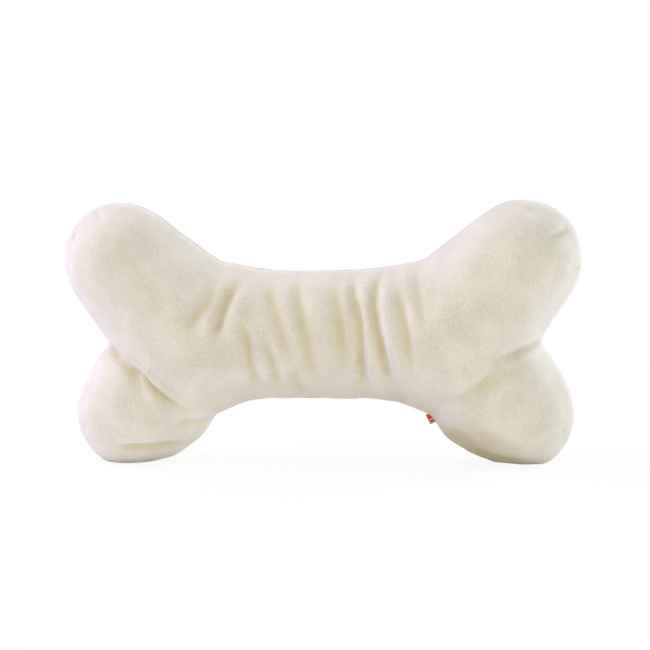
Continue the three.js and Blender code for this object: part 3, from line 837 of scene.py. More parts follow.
BACK_FOLDS: tuple[Fold | Dimple, ...] = (
    Fold(((-60, 118), (-55, 100), (-52, 82)), 2.2, (4.0, 3.2)),
    Fold(((-41, 119), (-42, 98), (-37, 76), (-38, 52)), 3.0, (3.6, 2.6)),
    Fold(((-25, 110), (-22, 86), (-25, 62)), 1.8, (4.0, 3.2)),
    Fold(((-9, 117), (-12, 94), (-8, 70), (-10, 46)), 2.8, (3.4, 2.6)),
    Fold(((6, 104), (8, 80), (4, 56)), 1.4, (4.2, 3.6)),
    Fold(((22, 118), (19, 96), (23, 72), (21, 46)), 3.2, (3.2, 2.6)),
    Fold(((38, 112), (37, 88), (41, 64)), 2.0, (3.8, 3.0)),
    Fold(((55, 118), (51, 98), (53, 78)), 2.4, (3.6, 3.2)),
    Fold(((143, 82), (126, 75), (112, 66), (98, 55), (84, 40)), 3.4, (3.2, 5.0), (0.1, 0.3), (0.15, 0.4)),
    Fold(((-143, 82), (-127, 78), (-112, 76), (-98, 78)), 3.0, (3.0, 4.4), (0.3, 0.2), (0.15, 0.5)),
    Fold(((-136, 70), (-118, 60), (-100, 46)), 1.8, (4.0, 4.5)),
    Fold(((-130, 14), (-108, 12), (-86, 17)), 2.4, (2.6, 5.0), (0.35, 0.0)),
    Fold(((132, 13), (112, 11), (88, 16)), 2.4, (5.0, 2.6), (0.0, 0.35)),
    Dimple((108, 136), 13, 1.8),
)
SEAM_PUCKERS: tuple[Fold, ...] = (
    Fold(((160, 122), (155, 123), (148, 126)), 1.6, (2.0, 2.0), (0.2, 0.2), (0.1, 0.6)),
    Fold(((128, 160), (131, 157), (137, 153)), 1.1, (2.4, 2.8), (0.2, 0.2), (0.2, 0.5)),
    Fold(((-138, 161), (-135, 156), (-131, 151)), 0.9, (2.6, 2.8), (0.3, 0.3), (0.05, 0.6)),
    Fold(((-131, 162), (-129, 155)), 0.7, (2.6, 2.8), (0.3, 0.2), (0.05, 0.6)),
    Fold(((-154, 144), (-144, 138)), 1.0, (2.4, 2.4), (0.2, 0.2), (0.05, 0.6)),
    Fold(((-150, 24), (-140, 27)), 1.0, (2.4, 2.4), (0.2, 0.2), (0.05, 0.6)),
    Fold(((150, 22), (142, 25)), 1.0, (2.4, 2.4), (0.2, 0.2), (0.05, 0.6)),
)


# How far round the form's edge a fold reaches: ramps over the normal's Y and over the place's Y.
FOLD_TURN = (-0.15, 0.35)
FOLD_REACH = (-4 * MM, 6 * MM)


def pressed(points: np.ndarray, normals: np.ndarray, broadest: float = math.inf) -> np.ndarray:
    """Says how far the folds of both faces press or lift the stuffed form.

    Args:
        points: places on the form.
        normals: the form's outward directions there.
        broadest: leaves out folds that are broader than this, in millimetres.

    Returns:
        The rise at each place, negative in a crease.
    """
    rise = np.zeros(len(points))
    for facing, folds in ((Facing.FRONT, FRONT_FOLDS), (Facing.BACK, BACK_FOLDS)):
        turned = ramp(*FOLD_TURN, facing.value * normals[:, 1])
        reached = ramp(*FOLD_REACH, facing.value * points[:, 1])
        near = np.flatnonzero(turned * reached > 0)
        places = points[near][:, [0, 2]]
        kept = [fold for fold in folds if fold.breadth <= broadest]
        rise[near] += sum(fold.rise(places) for fold in kept) * (turned * reached)[near]
    return rise


@dataclass
class Cover:
    """The stuffed velour cover: one swollen skin, creased, then parted at the seam into two panels.

    The pairs named for a rise, a fade, a place or a direction are the two ends of a ramp.
    """

    velour: bpy.types.Material
    voxel: float = 2.8 * MM
    seam_lap: float = 0.9 * MM
    spare: float = 1.0 * MM
    smoothing: int = 6
    pressure: float = 8.0
    frames: int = 20
    swell_cap: float = 6.0 * MM
    lump_height: float = 0.7 * MM
    lump_spacing: float = 26.0 * MM
    lump_seed: float = 3.1
    crinkle_height: float = 0.45 * MM
    crinkle_spacing: float = 9.0 * MM
    crinkle_form: tuple[float, float, float] = (1.0, 1.0, 0.3)
    crinkle_fade: tuple[float, float] = (85.0 * MM, 50.0 * MM)
    crinkle_seed: float = 1.7
    seam_depth: float = 0.25 * MM
    seam_reach: float = 5.0 * MM
    seam_smoothing: int = 14
    seam_fullness: float = 2.1 * MM
    fine_breadth: float = 3.0
    fine_rise: float = 0.25 * MM
    marked_breadth: float = 4.0
    # Painted shade in creases and a painted highlight on crests reach full strength at these fold depths and
    # heights.
    full_crease_shade: float = 2.3 * MM
    full_crest_highlight: float = 1.3 * MM
    pucker_rise: tuple[float, float] = (2.0 * MM, 9.0 * MM)
    pucker_fade: tuple[float, float] = (30.0 * MM, 14.0 * MM)
    # A deeper tone towards the middle of the waist, and painted shade under the lower right knob, on its
    # flank turned down and to the left.
    waist_tone: float = 0.16
    waist_fade: tuple[float, float] = (85.0 * MM, 45.0 * MM)
    painted_under_shade: float = 0.8
    under_across: tuple[float, float] = (30.0 * MM, 75.0 * MM)
    under_height: tuple[float, float] = (42.0 * MM, 22.0 * MM)
    under_left: tuple[float, float] = (0.25, -0.25)
    under_down: tuple[float, float] = (-0.25, -0.65)
    # The painted sheen shows on faces turned up or sideways and fades out on faces turned down.
    sheen_upward: tuple[float, float] = (-1.0, -0.45)
    gather_height: float = 0.3 * MM
    gather_fade: tuple[float, float] = (16.0 * MM, 1.0 * MM)
    gather_pattern: tuple[float, float, float] = (9.0, 40.0, 14.0)
    gather_seed: float = 7.7
    cloth: float = 1.4 * MM
    hub: tuple[float, float] = (72.0 * MM, 80.9 * MM)
    roll: Line = (
        (2.2, 0.0), (1.5, 0.2), (0.95, 0.5), (0.52, 0.95), (0.26, 1.5), (0.2, 2.2), (0.33, 3.5), (0.33, 5.0)
    )
    dent: tuple[float, float] = (36.0 * MM, 31.0 * MM)
    dent_fade: tuple[float, float] = (1.0, 0.25)
    dent_depth: tuple[float, float] = (-6.0 * MM, -16.0 * MM)

    SOLIDS = (
        "front_panel",
        "back_panel",
        "shank_fill",
        "squeeze_wad",
        "upper_left_fill",
        "upper_right_fill",
        "lower_left_fill",
        "lower_right_fill",
    )

    def build(self, nodes: dict[str, Piece]) -> tuple[Piece, Piece]:
        """Makes both panels and dresses them.

        Args:
            nodes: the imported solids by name.

        Returns:
            The front and the back panel.
        """
        skin = self._skin(nodes)
        self._swell(skin)
        self._even_seam(skin)
        subdivide_smoothly(skin)
        self._refine(skin)
        self._mark_outwards(skin)
        self._crease(skin)
        front = self._panel(skin, Facing.FRONT, "front_cover")
        back = self._panel(skin, Facing.BACK, "back_cover")
        bpy.data.objects.remove(skin)
        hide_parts("front_panel")
        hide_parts("back_panel")
        self._let_dent(front)
        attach(back, Body.TOY.value)
        return front, back

    def _skin(self, nodes: dict[str, Piece]) -> Piece:
        """Joins the solids into one closed skin with no seam gap.

        Args:
            nodes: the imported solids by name.

        Returns:
            The skin.
        """
        parts = [copy_of(nodes[name], "skin_" + name) for name in self.SOLIDS]
        for part, facing in zip(parts, Facing):
            points = points_of(part)
            points[:, 1] -= facing.value * self.seam_lap
            place_points(part, points)
        skin = join(parts, "bone_skin")
        finish_with(skin, "REMESH", mode="VOXEL", voxel_size=self.voxel)
        with edit_mode(skin):
            bpy.ops.mesh.select_all(action="DESELECT")
        skin.data.vertices[int(points_of(skin)[:, 0].argmax())].select = True
        with edit_mode(skin):
            bpy.ops.mesh.select_linked()
            bpy.ops.mesh.select_all(action="INVERT")
            bpy.ops.mesh.delete(type="VERT")
        finish_with(skin, "SMOOTH", factor=0.5, iterations=self.smoothing)
        return skin

    def _swell(self, skin: Piece) -> None:
        """Blows the skin up as cloth, from a cut with a little to spare.

        Args:
            skin: the closed skin.
        """
        rest = points_of(skin)
        place_points(skin, rest + normals_of(skin) * self.spare)
        self._simulate(skin)
        moved = points_of(skin) - rest
        reach = np.maximum(np.linalg.norm(moved, axis=1), 1e-9)
        points = rest + moved * np.minimum(1, self.swell_cap / reach)[:, None]
        LOG.info("swell: mean %.2f mm, most %.2f mm", reach.mean() / MM, reach.max() / MM)
        points[:, 2] = np.maximum(points[:, 2], 0)
        place_points(skin, points)

    def _simulate(self, skin: Piece) -> None:
        """Runs the cloth simulation and applies its last frame.

        Args:
            skin: the closed skin.
        """
        cloth = skin.modifiers.new("Cloth", "CLOTH")
        settings = cloth.settings
        settings.use_pressure = True
        settings.uniform_pressure_force = self.pressure
        settings.effector_weights.gravity = 0
        cloth.collision_settings.use_collision = False
        for number in range(1, self.frames + 1):
            bpy.context.scene.frame_set(number)
        pick(skin)
        bpy.ops.object.modifier_apply(modifier=cloth.name)
        bpy.context.scene.frame_set(1)

    def _even_seam(self, skin: Piece) -> None:
        """Smooths the skin in a band along the seam, where the two panels' edges met, and fills it out.

        Args:
            skin: the swollen skin.
        """
        group = skin.vertex_groups.new(name="seam")
        weights = ramp(3 * self.seam_reach, self.seam_reach, np.abs(points_of(skin)[:, 1]))
        for index in np.flatnonzero(weights > 0):
            group.add([int(index)], float(weights[index]), "REPLACE")
        finish_with(skin, "SMOOTH", factor=0.5, iterations=self.seam_smoothing, vertex_group=group.name)
        skin.vertex_groups.clear()
        points = points_of(skin) + normals_of(skin) * (1, 0, 1) * (weights * self.seam_fullness)[:, None]
        points[:, 2] = np.maximum(points[:, 2], 0)
        place_points(skin, points)

    def _refine(self, skin: Piece) -> None:
        """Makes the mesh finer along the narrow folds, so that they show as lines.

        Args:
            skin: the swollen skin.
        """
        near = np.abs(pressed(points_of(skin), normals_of(skin), self.fine_breadth)) > self.fine_rise
        with edit_mode(skin):
            bpy.ops.mesh.select_all(action="DESELECT")
        skin.data.vertices.foreach_set("select", near)
        with edit_mode(skin):
            bpy.ops.mesh.subdivide(number_cuts=1, quadcorner="INNERVERT")

    @staticmethod
    def _mark_outwards(skin: Piece) -> None:
        """Keeps the smooth skin's directions out of the seam's plane, for rolling the panels' edges.

        Args:
            skin: the swollen skin.
        """
        outwards = normals_of(skin) * (1, 0, 1)
        outwards /= np.maximum(np.linalg.norm(outwards, axis=1), 1e-6)[:, None]
        skin.data.attributes.new("outwards", "FLOAT_VECTOR", "POINT")
        skin.data.attributes["outwards"].data.foreach_set("vector", outwards.ravel())

    def _crease(self, skin: Piece) -> None:
        """Presses the folds, puckers and soft lumps into the skin.

        Args:
            skin: the swollen skin.
        """
        points, normals = points_of(skin), normals_of(skin)
        from_seam = np.abs(points[:, 1])
        rise = pressed(points, normals)
        self._mark_painted_light(skin, pressed(points, normals, self.marked_breadth), points, normals)
        at_seam = ramp(*self.pucker_fade, from_seam) * ramp(*self.pucker_rise, from_seam)
        rise += sum(fold.rise(points[:, [0, 2]]) for fold in SEAM_PUCKERS) * at_seam
        rise += lumps(points, self.lump_spacing, self.lump_seed) * self.lump_height
        in_waist = ramp(*self.crinkle_fade, np.abs(points[:, 0]))
        crinkles = lumps(points * self.crinkle_form, self.crinkle_spacing, self.crinkle_seed)
        rise += crinkles * in_waist * self.crinkle_height
        rise -= np.exp(-((from_seam / self.seam_reach) ** 2)) * self.seam_depth
        rise += self._gathers(points) * self.gather_height
        points += normals * rise[:, None]
        points[:, 2] = np.maximum(points[:, 2], 0)
        place_points(skin, points)

    def _mark_painted_light(self, skin: Piece, rise: np.ndarray, points: np.ndarray, normals: np.ndarray) -> None:
        """Marks where colour is painted: shade in creases and under the lower right knob, a deeper tone over
        the waist, a highlight on crests, and where the painted sheen may show.

        The waist and the lower right knob's underside are deeper in the photograph than the light makes them.

        Args:
            skin: the swollen skin.
            rise: how far the narrow folds lift each point.
            points: the skin's points.
            normals: the skin's outward directions.
        """
        across, height = points[:, 0], points[:, 2]
        facing_right, facing_up = normals[:, 0], normals[:, 2]
        # Painted shade under the lower right knob, on its flank turned down and to the left.
        low_right = ramp(*self.under_across, across) * ramp(*self.under_height, height)
        right_flank = low_right * ramp(*self.under_left, facing_right)
        shade_under_right = self.painted_under_shade * right_flank * ramp(*self.under_down, facing_up)
        shade_and_waist_tone = self.waist_tone * ramp(*self.waist_fade, np.abs(across)) + shade_under_right
        # crease holds painted shade and the waist tone, crest a painted highlight, nap where the painted
        # sheen may show, less on faces turned down and under the lower right knob.
        marks = {
            "crease": np.clip(shade_and_waist_tone - rise / self.full_crease_shade, 0, 1),
            "crest": np.clip(rise / self.full_crest_highlight, 0, 1),
            "nap": ramp(*self.sheen_upward, facing_up) * (1 - shade_under_right),
        }
        for name, values in marks.items():
            skin.data.attributes.new(name, "FLOAT", "POINT")
            skin.data.attributes[name].data.foreach_set("value", values.astype(np.float32))

    def _gathers(self, points: np.ndarray) -> np.ndarray:
        """Rates the small puckers that run out from the seam all round.

        Args:
            points: the skin's points.

        Returns:
            A value from about -1 to 1 at each point, fading away from the seam.
        """
        side = np.sign(points[:, 0])
        turn = np.arctan2(points[:, 2] - self.hub[1], side * points[:, 0] - self.hub[0])
        along = np.stack([turn, side, points[:, 1]], axis=1) * self.gather_pattern
        return lumps(along, 1.0, self.gather_seed) * ramp(*self.gather_fade, np.abs(points[:, 1]))

    def _panel(self, skin: Piece, facing: Facing, name: str) -> Piece:
        """Cuts one panel from the skin, rolls its edge into the seam and gives the cloth its thickness.

        Args:
            skin: the creased skin.
            facing: the panel's side.
            name: the panel's name.

        Returns:
            The panel.
        """
        panel = copy_of(skin, name)
        sign = facing.value
        start = self.roll[0][0] * MM
        with edit_mode(panel):
            bpy.ops.mesh.select_all(action="SELECT")
            bpy.ops.mesh.bisect(
                plane_co=(0, sign * start, 0), plane_no=(0, sign, 0), clear_inner=True, threshold=TOUCHING
            )
        for (reach, inset), (next_reach, next_inset) in zip(self.roll, self.roll[1:]):
            self._roll_edge(panel, sign * (next_reach - reach) * MM, (next_inset - inset) * MM)
        panel.data.attributes.remove(panel.data.attributes["outwards"])
        finish_with(panel, "SOLIDIFY", thickness=self.cloth, offset=-1)
        shade_smooth(panel)
        panel.data.materials.append(self.velour)
        return panel

    @staticmethod
    def _roll_edge(panel: Piece, step: float, inset: float) -> None:
        """Draws the panel's open edge out by one more strip of cloth, towards the seam and into the toy.

        Args:
            panel: the open panel, which holds its outward directions.
            step: the strip's step along Y.
            inset: its step into the toy.
        """
        with edit_mode(panel):
            select_open_edge()
            bpy.ops.mesh.extrude_region_move()
        points = points_of(panel)
        edge = np.empty(len(points), dtype=bool)
        panel.data.vertices.foreach_get("select", edge)
        outwards = np.empty(points.size)
        panel.data.attributes["outwards"].data.foreach_get("vector", outwards)
        points[edge] += np.array((0, step, 0)) - outwards.reshape(-1, 3)[edge] * inset
        place_points(panel, points)

    def _let_dent(self, front: Piece) -> None:
        """Bakes the front panel's place into its mesh.

        Args:
            front: the finished front panel.
        """
        points = points_of(front)
        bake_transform(front)


# Filling


@dataclass
class Filling:
    """The teased fibre wads inside the cover."""

    fibre: bpy.types.Material
    voxel: float = 4.0 * MM
    inset: float = 3.5 * MM
    smoothing: int = 5
    tuft_height: float = 1.4 * MM
    tuft_spacing: float = 9.0 * MM
    tuft_seed: float = 5.3

    RIDES = {
        "shank_fill": Body.TOY,
        "squeeze_wad": Body.WAD,
        "upper_left_fill": Body.TOY,
        "upper_right_fill": Body.TOY,
        "lower_left_fill": Body.TOY,
        "lower_right_fill": Body.TOY,
    }

    def build(self, nodes: dict[str, Piece]) -> list[Piece]:
        """Makes a wad for each packed one."""
        return [self._wad(nodes[name], name, body) for name, body in self.RIDES.items()]

    def _wad(self, node: Piece, name: str, body: Body) -> Piece:
        """Teases one solid into a soft wad that stays inside it.

        Args:
            node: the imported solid.
            name: its name.
            body: the body it rides on.

        Returns:
            The wad.
        """
        wad = copy_of(node, name + "_fibre")
        finish_with(wad, "REMESH", mode="VOXEL", voxel_size=self.voxel)
        finish_with(wad, "SMOOTH", factor=0.5, iterations=self.smoothing)
        points, normals = points_of(wad), normals_of(wad)
        tufts = lumps(points, self.tuft_spacing, self.tuft_seed) * self.tuft_height
        tufts += np.minimum(pressed(points, normals), 0)
        place_points(wad, points - normals * (self.inset - tufts)[:, None])
        subdivide_smoothly(wad)
        shade_smooth(wad)
        wad.data.materials.append(self.fibre)
        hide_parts(name)
        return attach(wad, body.value)


# Stitching


@dataclass
class Stitching:
    """The hand stitches that close the stuffing opening under the waist, and the machine seam's thread."""

    thread: bpy.types.Material
    stitches: int = 13
    opening: float = 50.0 * MM
    reach: float = 2.6 * MM
    slant: float = 1.3 * MM
    thickness: float = 0.5 * MM
    proud: float = -0.1 * MM
    sink: float = 0.7 * MM
    drawn_in: float = 0.8
    ray_start: float = -1.0
    waist_low: float = 41.0 * MM

    def build(self, nodes: dict[str, Piece], covers: tuple[Piece, Piece]) -> Piece:
        """Makes the row of stitches across the closed opening and dresses the seam's thread.

        Args:
            nodes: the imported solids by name.
            covers: the front and back panels, which the stitches lie on.

        Returns:
            The row of stitches.
        """
        repaint(nodes["seam_thread"], self.thread)
        spots = np.linspace(-self.opening / 2, self.opening / 2, self.stitches)
        row = join([self._stitch(float(along), covers) for along in spots], "closing_stitches")
        shade_smooth(row)
        row.data.materials.append(self.thread)
        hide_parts("closing_thread")
        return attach(row, Body.TOY.value)

    def _stitch(self, along: float, covers: tuple[Piece, Piece]) -> Piece:
        """Makes one slanted stitch that dips into the cloth on each side of the seam.

        Args:
            along: its middle's place along the bone.
            covers: the front and back panels.

        Returns:
            The stitch as a mesh.
        """
        ends = []
        for cover, facing in zip(covers, Facing):
            side = facing.value
            place = Vector((along + side * self.slant / 2, side * self.reach, self.ray_start))
            hit, spot, _, _ = cover.ray_cast(place, Vector((0, 0, 1)))
            ends.append(spot if hit else Vector((place.x, place.y, self.waist_low)))
        low = min(spot.z for spot in ends) - self.proud
        track = [
            ends[0] + Vector((0, 0, self.sink)),
            Vector((ends[0].x, ends[0].y * self.drawn_in, low)),
            Vector((ends[1].x, ends[1].y * self.drawn_in, low)),
            ends[1] + Vector((0, 0, self.sink)),
        ]
        bpy.ops.curve.primitive_nurbs_path_add()
        curve = bpy.context.object
        curve.data.splines.clear()
        spline = curve.data.splines.new("BEZIER")
        spline.bezier_points.add(len(track) - 1)
        for knot, spot in zip(spline.bezier_points, track):
            knot.co = spot
            knot.handle_left_type = knot.handle_right_type = "AUTO"
        curve.data.bevel_depth = self.thickness / 2
        curve.data.bevel_resolution = 2
        curve.data.resolution_u = 6
        curve.data.use_fill_caps = True
        pick(curve)
        bpy.ops.object.convert(target="MESH")
        return bpy.context.object


# Label


@dataclass
class SeamLabel:
    """The folded ribbon label in the seam: a loop outside it and the sewn ends within."""

    ribbon: bpy.types.Material
    width: float = 6.4 * MM
    length: float = 2.9 * MM
    thickness: float = 0.3 * MM
    fold: float = 0.5 * MM
    mouth: float = 0.26 * MM
    bend_from: float = -1.2 * MM
    bend_to: float = 0.8 * MM
    ends_from: float = -1.0 * MM
    ends_to: float = -3.8 * MM
    in_seam: tuple[float, float] = (-2.2 * MM, -1.0 * MM)
    leaving: float = 0.2 * MM
    flare: float = 1.3
    widening: float = 0.4
    widening_at: tuple[float, float] = (0.4, 0.7)
    columns: int = 9

    def build(self, joints: list[dict[str, Any]]) -> list[Piece]:
        """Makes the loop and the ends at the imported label's flex line.

        Args:
            joints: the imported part's joints.

        Returns:
            The loop and the ends.
        """
        flap = next(joint for joint in joints if joint["name"] == "label_flap")
        hinge, along = Vector(flap["pos_m"]), Vector(flap["axis"]).normalized()
        outwards = along.cross(Vector((0, -1, 0)))
        frame = Matrix((outwards, Vector((0, 1, 0)), along)).transposed().to_4x4()
        frame.translation = hinge
        loop = self._strip("label_loop", self._loop_track(), frame)
        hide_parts("label_tab")
        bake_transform(loop)
        ends = self._strip("label_sewn_ends", [(self.ends_from, 0.0), (self.ends_to, 0.0)], frame)
        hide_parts("label_ends")
        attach(ends, Body.TOY.value)
        return [loop, ends]

    def _loop_track(self) -> list[tuple[float, float]]:
        """Draws the ribbon's middle line: out of the seam, round the fold and back.

        Returns:
            Places as distance out of the seam and place front to back.
        """
        straight = self.length - self.fold
        side = [*((out, self.mouth) for out in self.in_seam), (self.leaving, self.mouth * self.flare)]
        for share in self.widening_at:
            side.append((straight * share, self.fold * (1 - self.widening + self.widening * share)))
        turn = [
            (straight + self.fold * math.sin(angle), self.fold * math.cos(angle))
            for angle in np.linspace(0, math.pi, 9)
        ]
        back = [(out, -across) for out, across in reversed(side)]
        return [*side, *turn, *back]

    def _strip(self, name: str, track: list[tuple[float, float]], frame: Matrix) -> Piece:
        """Lays a woven strip along a line, across the label's width.

        Args:
            name: the strip's name.
            track: places as distance out of the seam and place front to back.
            frame: the label's own frame.

        Returns:
            The strip.
        """
        rows = len(track)
        bpy.ops.mesh.primitive_grid_add(
            x_subdivisions=self.columns - 1, y_subdivisions=rows - 1, size=1, calc_uvs=True
        )
        strip = bpy.context.object
        strip.name = strip.data.name = name
        points = points_of(strip)
        number = np.rint((points[:, 1] + 0.5) * (rows - 1)).astype(int)
        for index, place in enumerate(number):
            out, across = track[place]
            points[index] = frame @ Vector((out, across, points[index, 0] * self.width))
        place_points(strip, points)
        finish_with(strip, "SOLIDIFY", thickness=self.thickness, offset=0)
        subdivide_smoothly(strip)
        shade_smooth(strip)
        strip.data.materials.append(self.ribbon)
        return strip


# Squeaker


@dataclass
class Squeaker:
    """The bellows bulb with its plug and reed.

    The lip's pairs are depths into the neck in millimetres and radii as shares of the bore.
    """

    effects: Effects
    axis: float = 80.9 * MM
    radius: float = 23.0 * MM
    half_height: float = 12.0 * MM
    crown: float = 19.0 * MM
    pleats: int = 2
    pleat_depth: float = 2.4 * MM
    wall: float = 1.0 * MM
    bore: float = 5.6 * MM
    neck: float = 7.8 * MM
    sides: int = 40
    rim_from: float = 0.4
    rim_rings: int = 4
    pleat_rings: int = 8
    lip: Line = ((0.0, 1.5), (0.2, 1.05), (0.9, 1.0))
    squeeze_keep: float = 0.58

    def build(self, nodes: dict[str, Piece]) -> Piece:
        """Makes the bulb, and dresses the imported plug, wedge and reed.

        Args:
            nodes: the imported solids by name.

        Returns:
            The bulb.
        """
        plug, film = PLUG_PLASTIC.material(self.effects), REED_FILM.material(self.effects)
        for name, material in (("reed_plug", plug), ("reed_wedge", plug), ("reed", film)):
            repaint(nodes[name], material)
        bulb = self._bulb()
        bulb.data.materials.append(BULB_PLASTIC.material(self.effects))
        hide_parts("squeaker_bulb")
        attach(bulb, Body.TOY.value)
        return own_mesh(bulb)

    def _rings(self) -> list[tuple[float, float]]:
        """Lists the bulb's rings from the crown's edge over the pleats to the inner end of the neck.

        Returns:
            Places along Y, with radii.
        """
        shoulder = self.radius - self.crown
        edge = self.half_height - shoulder
        turns = np.linspace(self.rim_from, math.pi / 2, self.rim_rings)
        rim = [(shoulder * math.cos(turn), shoulder * math.sin(turn)) for turn in turns]
        rings = [(-self.half_height, self.crown)]
        rings += [(-edge - inwards, self.crown + outwards) for inwards, outwards in rim]
        for share in np.linspace(0, 1, self.pleat_rings * self.pleats + 1)[1:]:
            fold = self.pleat_depth * (1 - math.cos(math.tau * self.pleats * share)) / 2
            rings.append((edge * (2 * share - 1), self.radius - fold))
        rings += [(edge + outwards, self.crown + inwards) for inwards, outwards in rim]
        rings += [(self.half_height - depth * MM, share * self.bore) for depth, share in self.lip]
        return [*rings, (self.half_height - self.neck, self.bore)]

    def _bulb(self) -> Piece:
        """Draws the bulb out ring by ring from its crown and gives it a wall.

        Returns:
            The bulb.
        """
        rings = self._rings()
        bpy.ops.mesh.primitive_circle_add(
            vertices=self.sides,
            radius=rings[0][1],
            fill_type="TRIFAN",
            location=(0, rings[0][0], self.axis),
            rotation=(math.pi / 2, 0, 0),
        )
        bulb = bpy.context.object
        bulb.name = bulb.data.name = "bellows_bulb"
        pick(bulb)
        bpy.ops.object.transform_apply(location=True, rotation=True, scale=True)
        for (place, radius), (next_place, next_radius) in zip(rings, rings[1:]):
            with edit_mode(bulb):
                select_open_edge()
                bpy.ops.mesh.extrude_region_move(
                    TRANSFORM_OT_translate={"value": (0, next_place - place, 0)}
                )
                scale = next_radius / radius
                bpy.ops.transform.resize(value=(scale, 1, scale), center_override=(0, next_place, self.axis))
        with edit_mode(bulb):
            bpy.ops.mesh.select_all(action="SELECT")
            bpy.ops.mesh.normals_make_consistent(inside=False)
        finish_with(bulb, "SOLIDIFY", thickness=self.wall, offset=-1)
        subdivide_smoothly(bulb)
        shade_smooth(bulb)
        return bulb


# Studio


@dataclass(frozen=True)
class Lamp:
    """A square soft lamp: where it hangs, its side, its power in watts and its tint."""

    name: str
    place: tuple[float, float, float]
    size: float
    power: float
    tint: tuple[float, float, float] = (1.0, 1.0, 1.0)


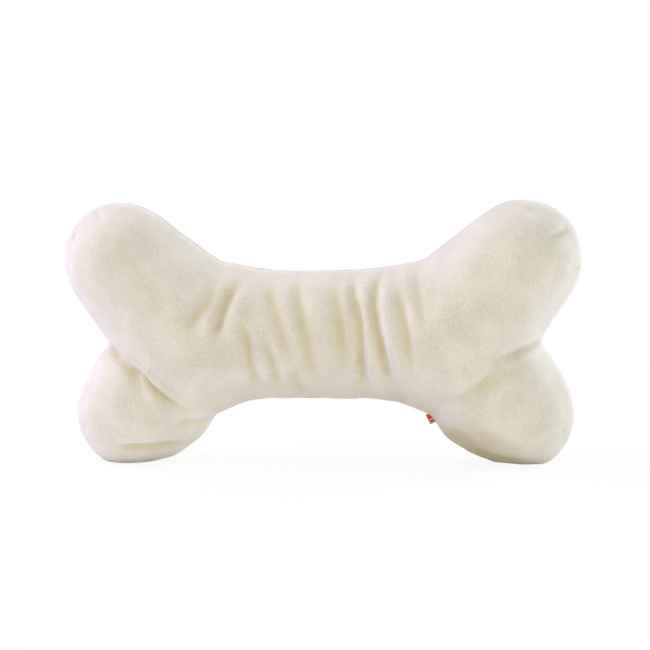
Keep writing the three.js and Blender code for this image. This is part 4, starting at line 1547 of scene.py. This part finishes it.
@dataclass
class Studio:
    """The pale floor, the white surround, the soft lights and the camera."""

    azimuth: float = 6.54
    elevation: float = 7.78
    roll: float = 1.0
    distance: float = 1.328
    lens: float = 118.0
    aim: tuple[float, float, float] = (0.0, 0.0, 0.081)
    aim_right: float = 2.02 * MM
    aim_up: float = 5.2 * MM
    ambient: float = 0.2
    white: Colour = (1.0, 1.0, 1.0, 1.0)
    floor_white: Colour = (0.96, 0.96, 0.96, 1.0)
    floor_size: float = 8.0
    floor_height: float = -0.2 * MM
    shadow_share: float = 0.1
    shadow_reach: tuple[float, float] = (0.18, 0.42)
    shadow_form: tuple[float, float, float] = (0.55, 1.0, 1.0)
    lamps: tuple[Lamp, ...] = (
        Lamp("left_lamp", (-1.2, -0.25, 0.75), 1.0, 6.2, (0.93, 0.85, 1.0)),
        Lamp("upper_left_lamp", (-0.8, 0.1, 1.1), 1.0, 11.6, (1.0, 0.915, 1.0)),
        Lamp("front_lamp", (0.3, -1.4, 0.18), 0.34, 5.1, (1.0, 0.985, 0.91)),
        Lamp("right_lamp", (0.9, -0.9, 0.9), 0.9, 4.8, (0.96, 1.0, 0.96)),
        Lamp("rim_lamp", (1.0, 0.8, 0.5), 1.0, 13.0, (0.98, 1.0, 0.97)),
    )

    def build(self) -> None:
        """Makes the whole studio."""
        self._camera()
        self._surround()
        self._floor()
        for lamp in self.lamps:
            self._hang(lamp)
        bpy.context.scene.view_settings.view_transform = "Standard"

    def _camera(self) -> None:
        """Places the camera at the photograph's viewing angle."""
        a, e = math.radians(self.azimuth), math.radians(self.elevation)
        back = Vector((math.sin(a) * math.cos(e), -math.cos(a) * math.cos(e), math.sin(e)))
        right = Vector((math.cos(a), math.sin(a), 0))
        up = back.cross(right)
        spot = Vector(self.aim) + right * self.aim_right + up * self.aim_up + back * self.distance
        bpy.ops.object.camera_add()
        camera = bpy.context.object
        camera.name = "camera"
        camera.data.lens = self.lens
        camera.data.sensor_width = 36.0
        turn = Matrix((right, up, back)).transposed()
        roll = Matrix.Rotation(-math.radians(self.roll), 3, "Z")
        camera.matrix_world = Matrix.Translation(spot) @ (turn @ roll).to_4x4()
        bpy.context.scene.camera = camera

    @staticmethod
    def _seen(sheet: NodeSheet) -> bpy.types.NodeSocket:
        """Tells rays that show the surround from rays that light the toy.

        Args:
            sheet: the material's or world's sheet.

        Returns:
            A socket that is 1 for camera, glossy and transmission rays.
        """
        path = sheet.add("LightPath").outputs
        shiny = sheet.sums("MAXIMUM", path["Is Glossy Ray"], path["Is Transmission Ray"])
        return sheet.sums("MAXIMUM", path["Is Camera Ray"], shiny)

    def _surround(self) -> None:
        """Makes the world white to look at, and a plain soft light on the toy."""
        world = bpy.data.worlds.new("surround")
        world.use_nodes = True
        sheet = NodeSheet(world.node_tree)
        lit = sheet.add("Background", {"Color": self.white, "Strength": self.ambient})
        shown = sheet.add("Background", {"Color": self.white, "Strength": 1.0})
        both = sheet.add("MixShader", {0: self._seen(sheet), 1: lit.outputs[0], 2: shown.outputs[0]})
        sheet.add("OutputWorld", {"Surface": both.outputs[0]})
        bpy.context.scene.world = world

    def _floor(self) -> None:
        """Makes the pale floor, which keeps a faint shadow."""
        bpy.ops.mesh.primitive_plane_add(size=self.floor_size, location=(0, 0, self.floor_height))
        floor = bpy.context.object
        floor.name = "floor"
        material = bpy.data.materials.new("pale_floor")
        material.use_nodes = True
        sheet = NodeSheet(material.node_tree)
        matt = sheet.add("BsdfDiffuse", {"Color": self.floor_white})
        glow = sheet.add("Emission", {"Color": self.white, "Strength": 1.0})
        place = sheet.add("TexCoord").outputs["Object"]
        rounded = sheet.add("VectorMath", {0: place, 1: self.shadow_form}, operation="MULTIPLY")
        away = sheet.add("VectorMath", {0: rounded.outputs["Vector"]}, operation="LENGTH").outputs["Value"]
        white_share = sheet.spread(away, *self.shadow_reach, 1.0 - self.shadow_share, 1.0)
        share = sheet.sums("MULTIPLY", self._seen(sheet), white_share)
        both = sheet.add("MixShader", {0: share, 1: matt.outputs[0], 2: glow.outputs[0]})
        sheet.add("OutputMaterial", {"Surface": both.outputs[0]})
        floor.data.materials.append(material)
        floor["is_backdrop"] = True

    def _hang(self, lamp: Lamp) -> None:
        """Hangs one soft lamp, aimed at the toy.

        Args:
            lamp: the lamp's make-up.
        """
        bpy.ops.object.light_add(type="AREA", location=lamp.place)
        made = bpy.context.object
        made.name = lamp.name
        made.data.size = lamp.size
        made.data.energy = lamp.power
        made.data.color = lamp.tint
        towards = Vector(self.aim) - Vector(lamp.place)
        made.rotation_euler = towards.to_track_quat("-Z", "Y").to_euler()


def write_sizes(solids: Sequence[Vector], shown: Sequence[Vector]) -> None:
    """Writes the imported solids' box and the dressed toy's box.

    Args:
        solids: lowest and highest corner of the solids.
        shown: lowest and highest corner of the dressed toy.
    """
    boxes = {"cad": [list(corner) for corner in solids], "visual": [list(corner) for corner in shown]}
    for name, (low, high) in boxes.items():
        LOG.info("%s box: %s to %s mm", name, *([round(v / MM, 1) for v in corner] for corner in (low, high)))


def main() -> None:
    """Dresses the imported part."""
    logging.basicConfig(level=logging.INFO, format="%(message)s")
    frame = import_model()
    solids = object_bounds()
    nodes = frame["nodes"]
    effects = Effects()
    Studio().build()
    covers = Cover(VelourFinish().material(effects)).build(nodes)
    thread = ThreadFinish().material(effects)
    pieces = [
        *covers,
        *Filling(FibreFinish().material(effects)).build(nodes),
        Stitching(thread).build(nodes, covers),
        *SeamLabel(RibbonFinish().material(effects)).build(frame["joints"]),
        Squeaker(effects).build(nodes),
    ]
    for piece in pieces:
        LOG.info("%s: %d vertices", piece.name, len(piece.data.vertices))
    write_sizes(solids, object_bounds())


if __name__ == "__main__":
    main()
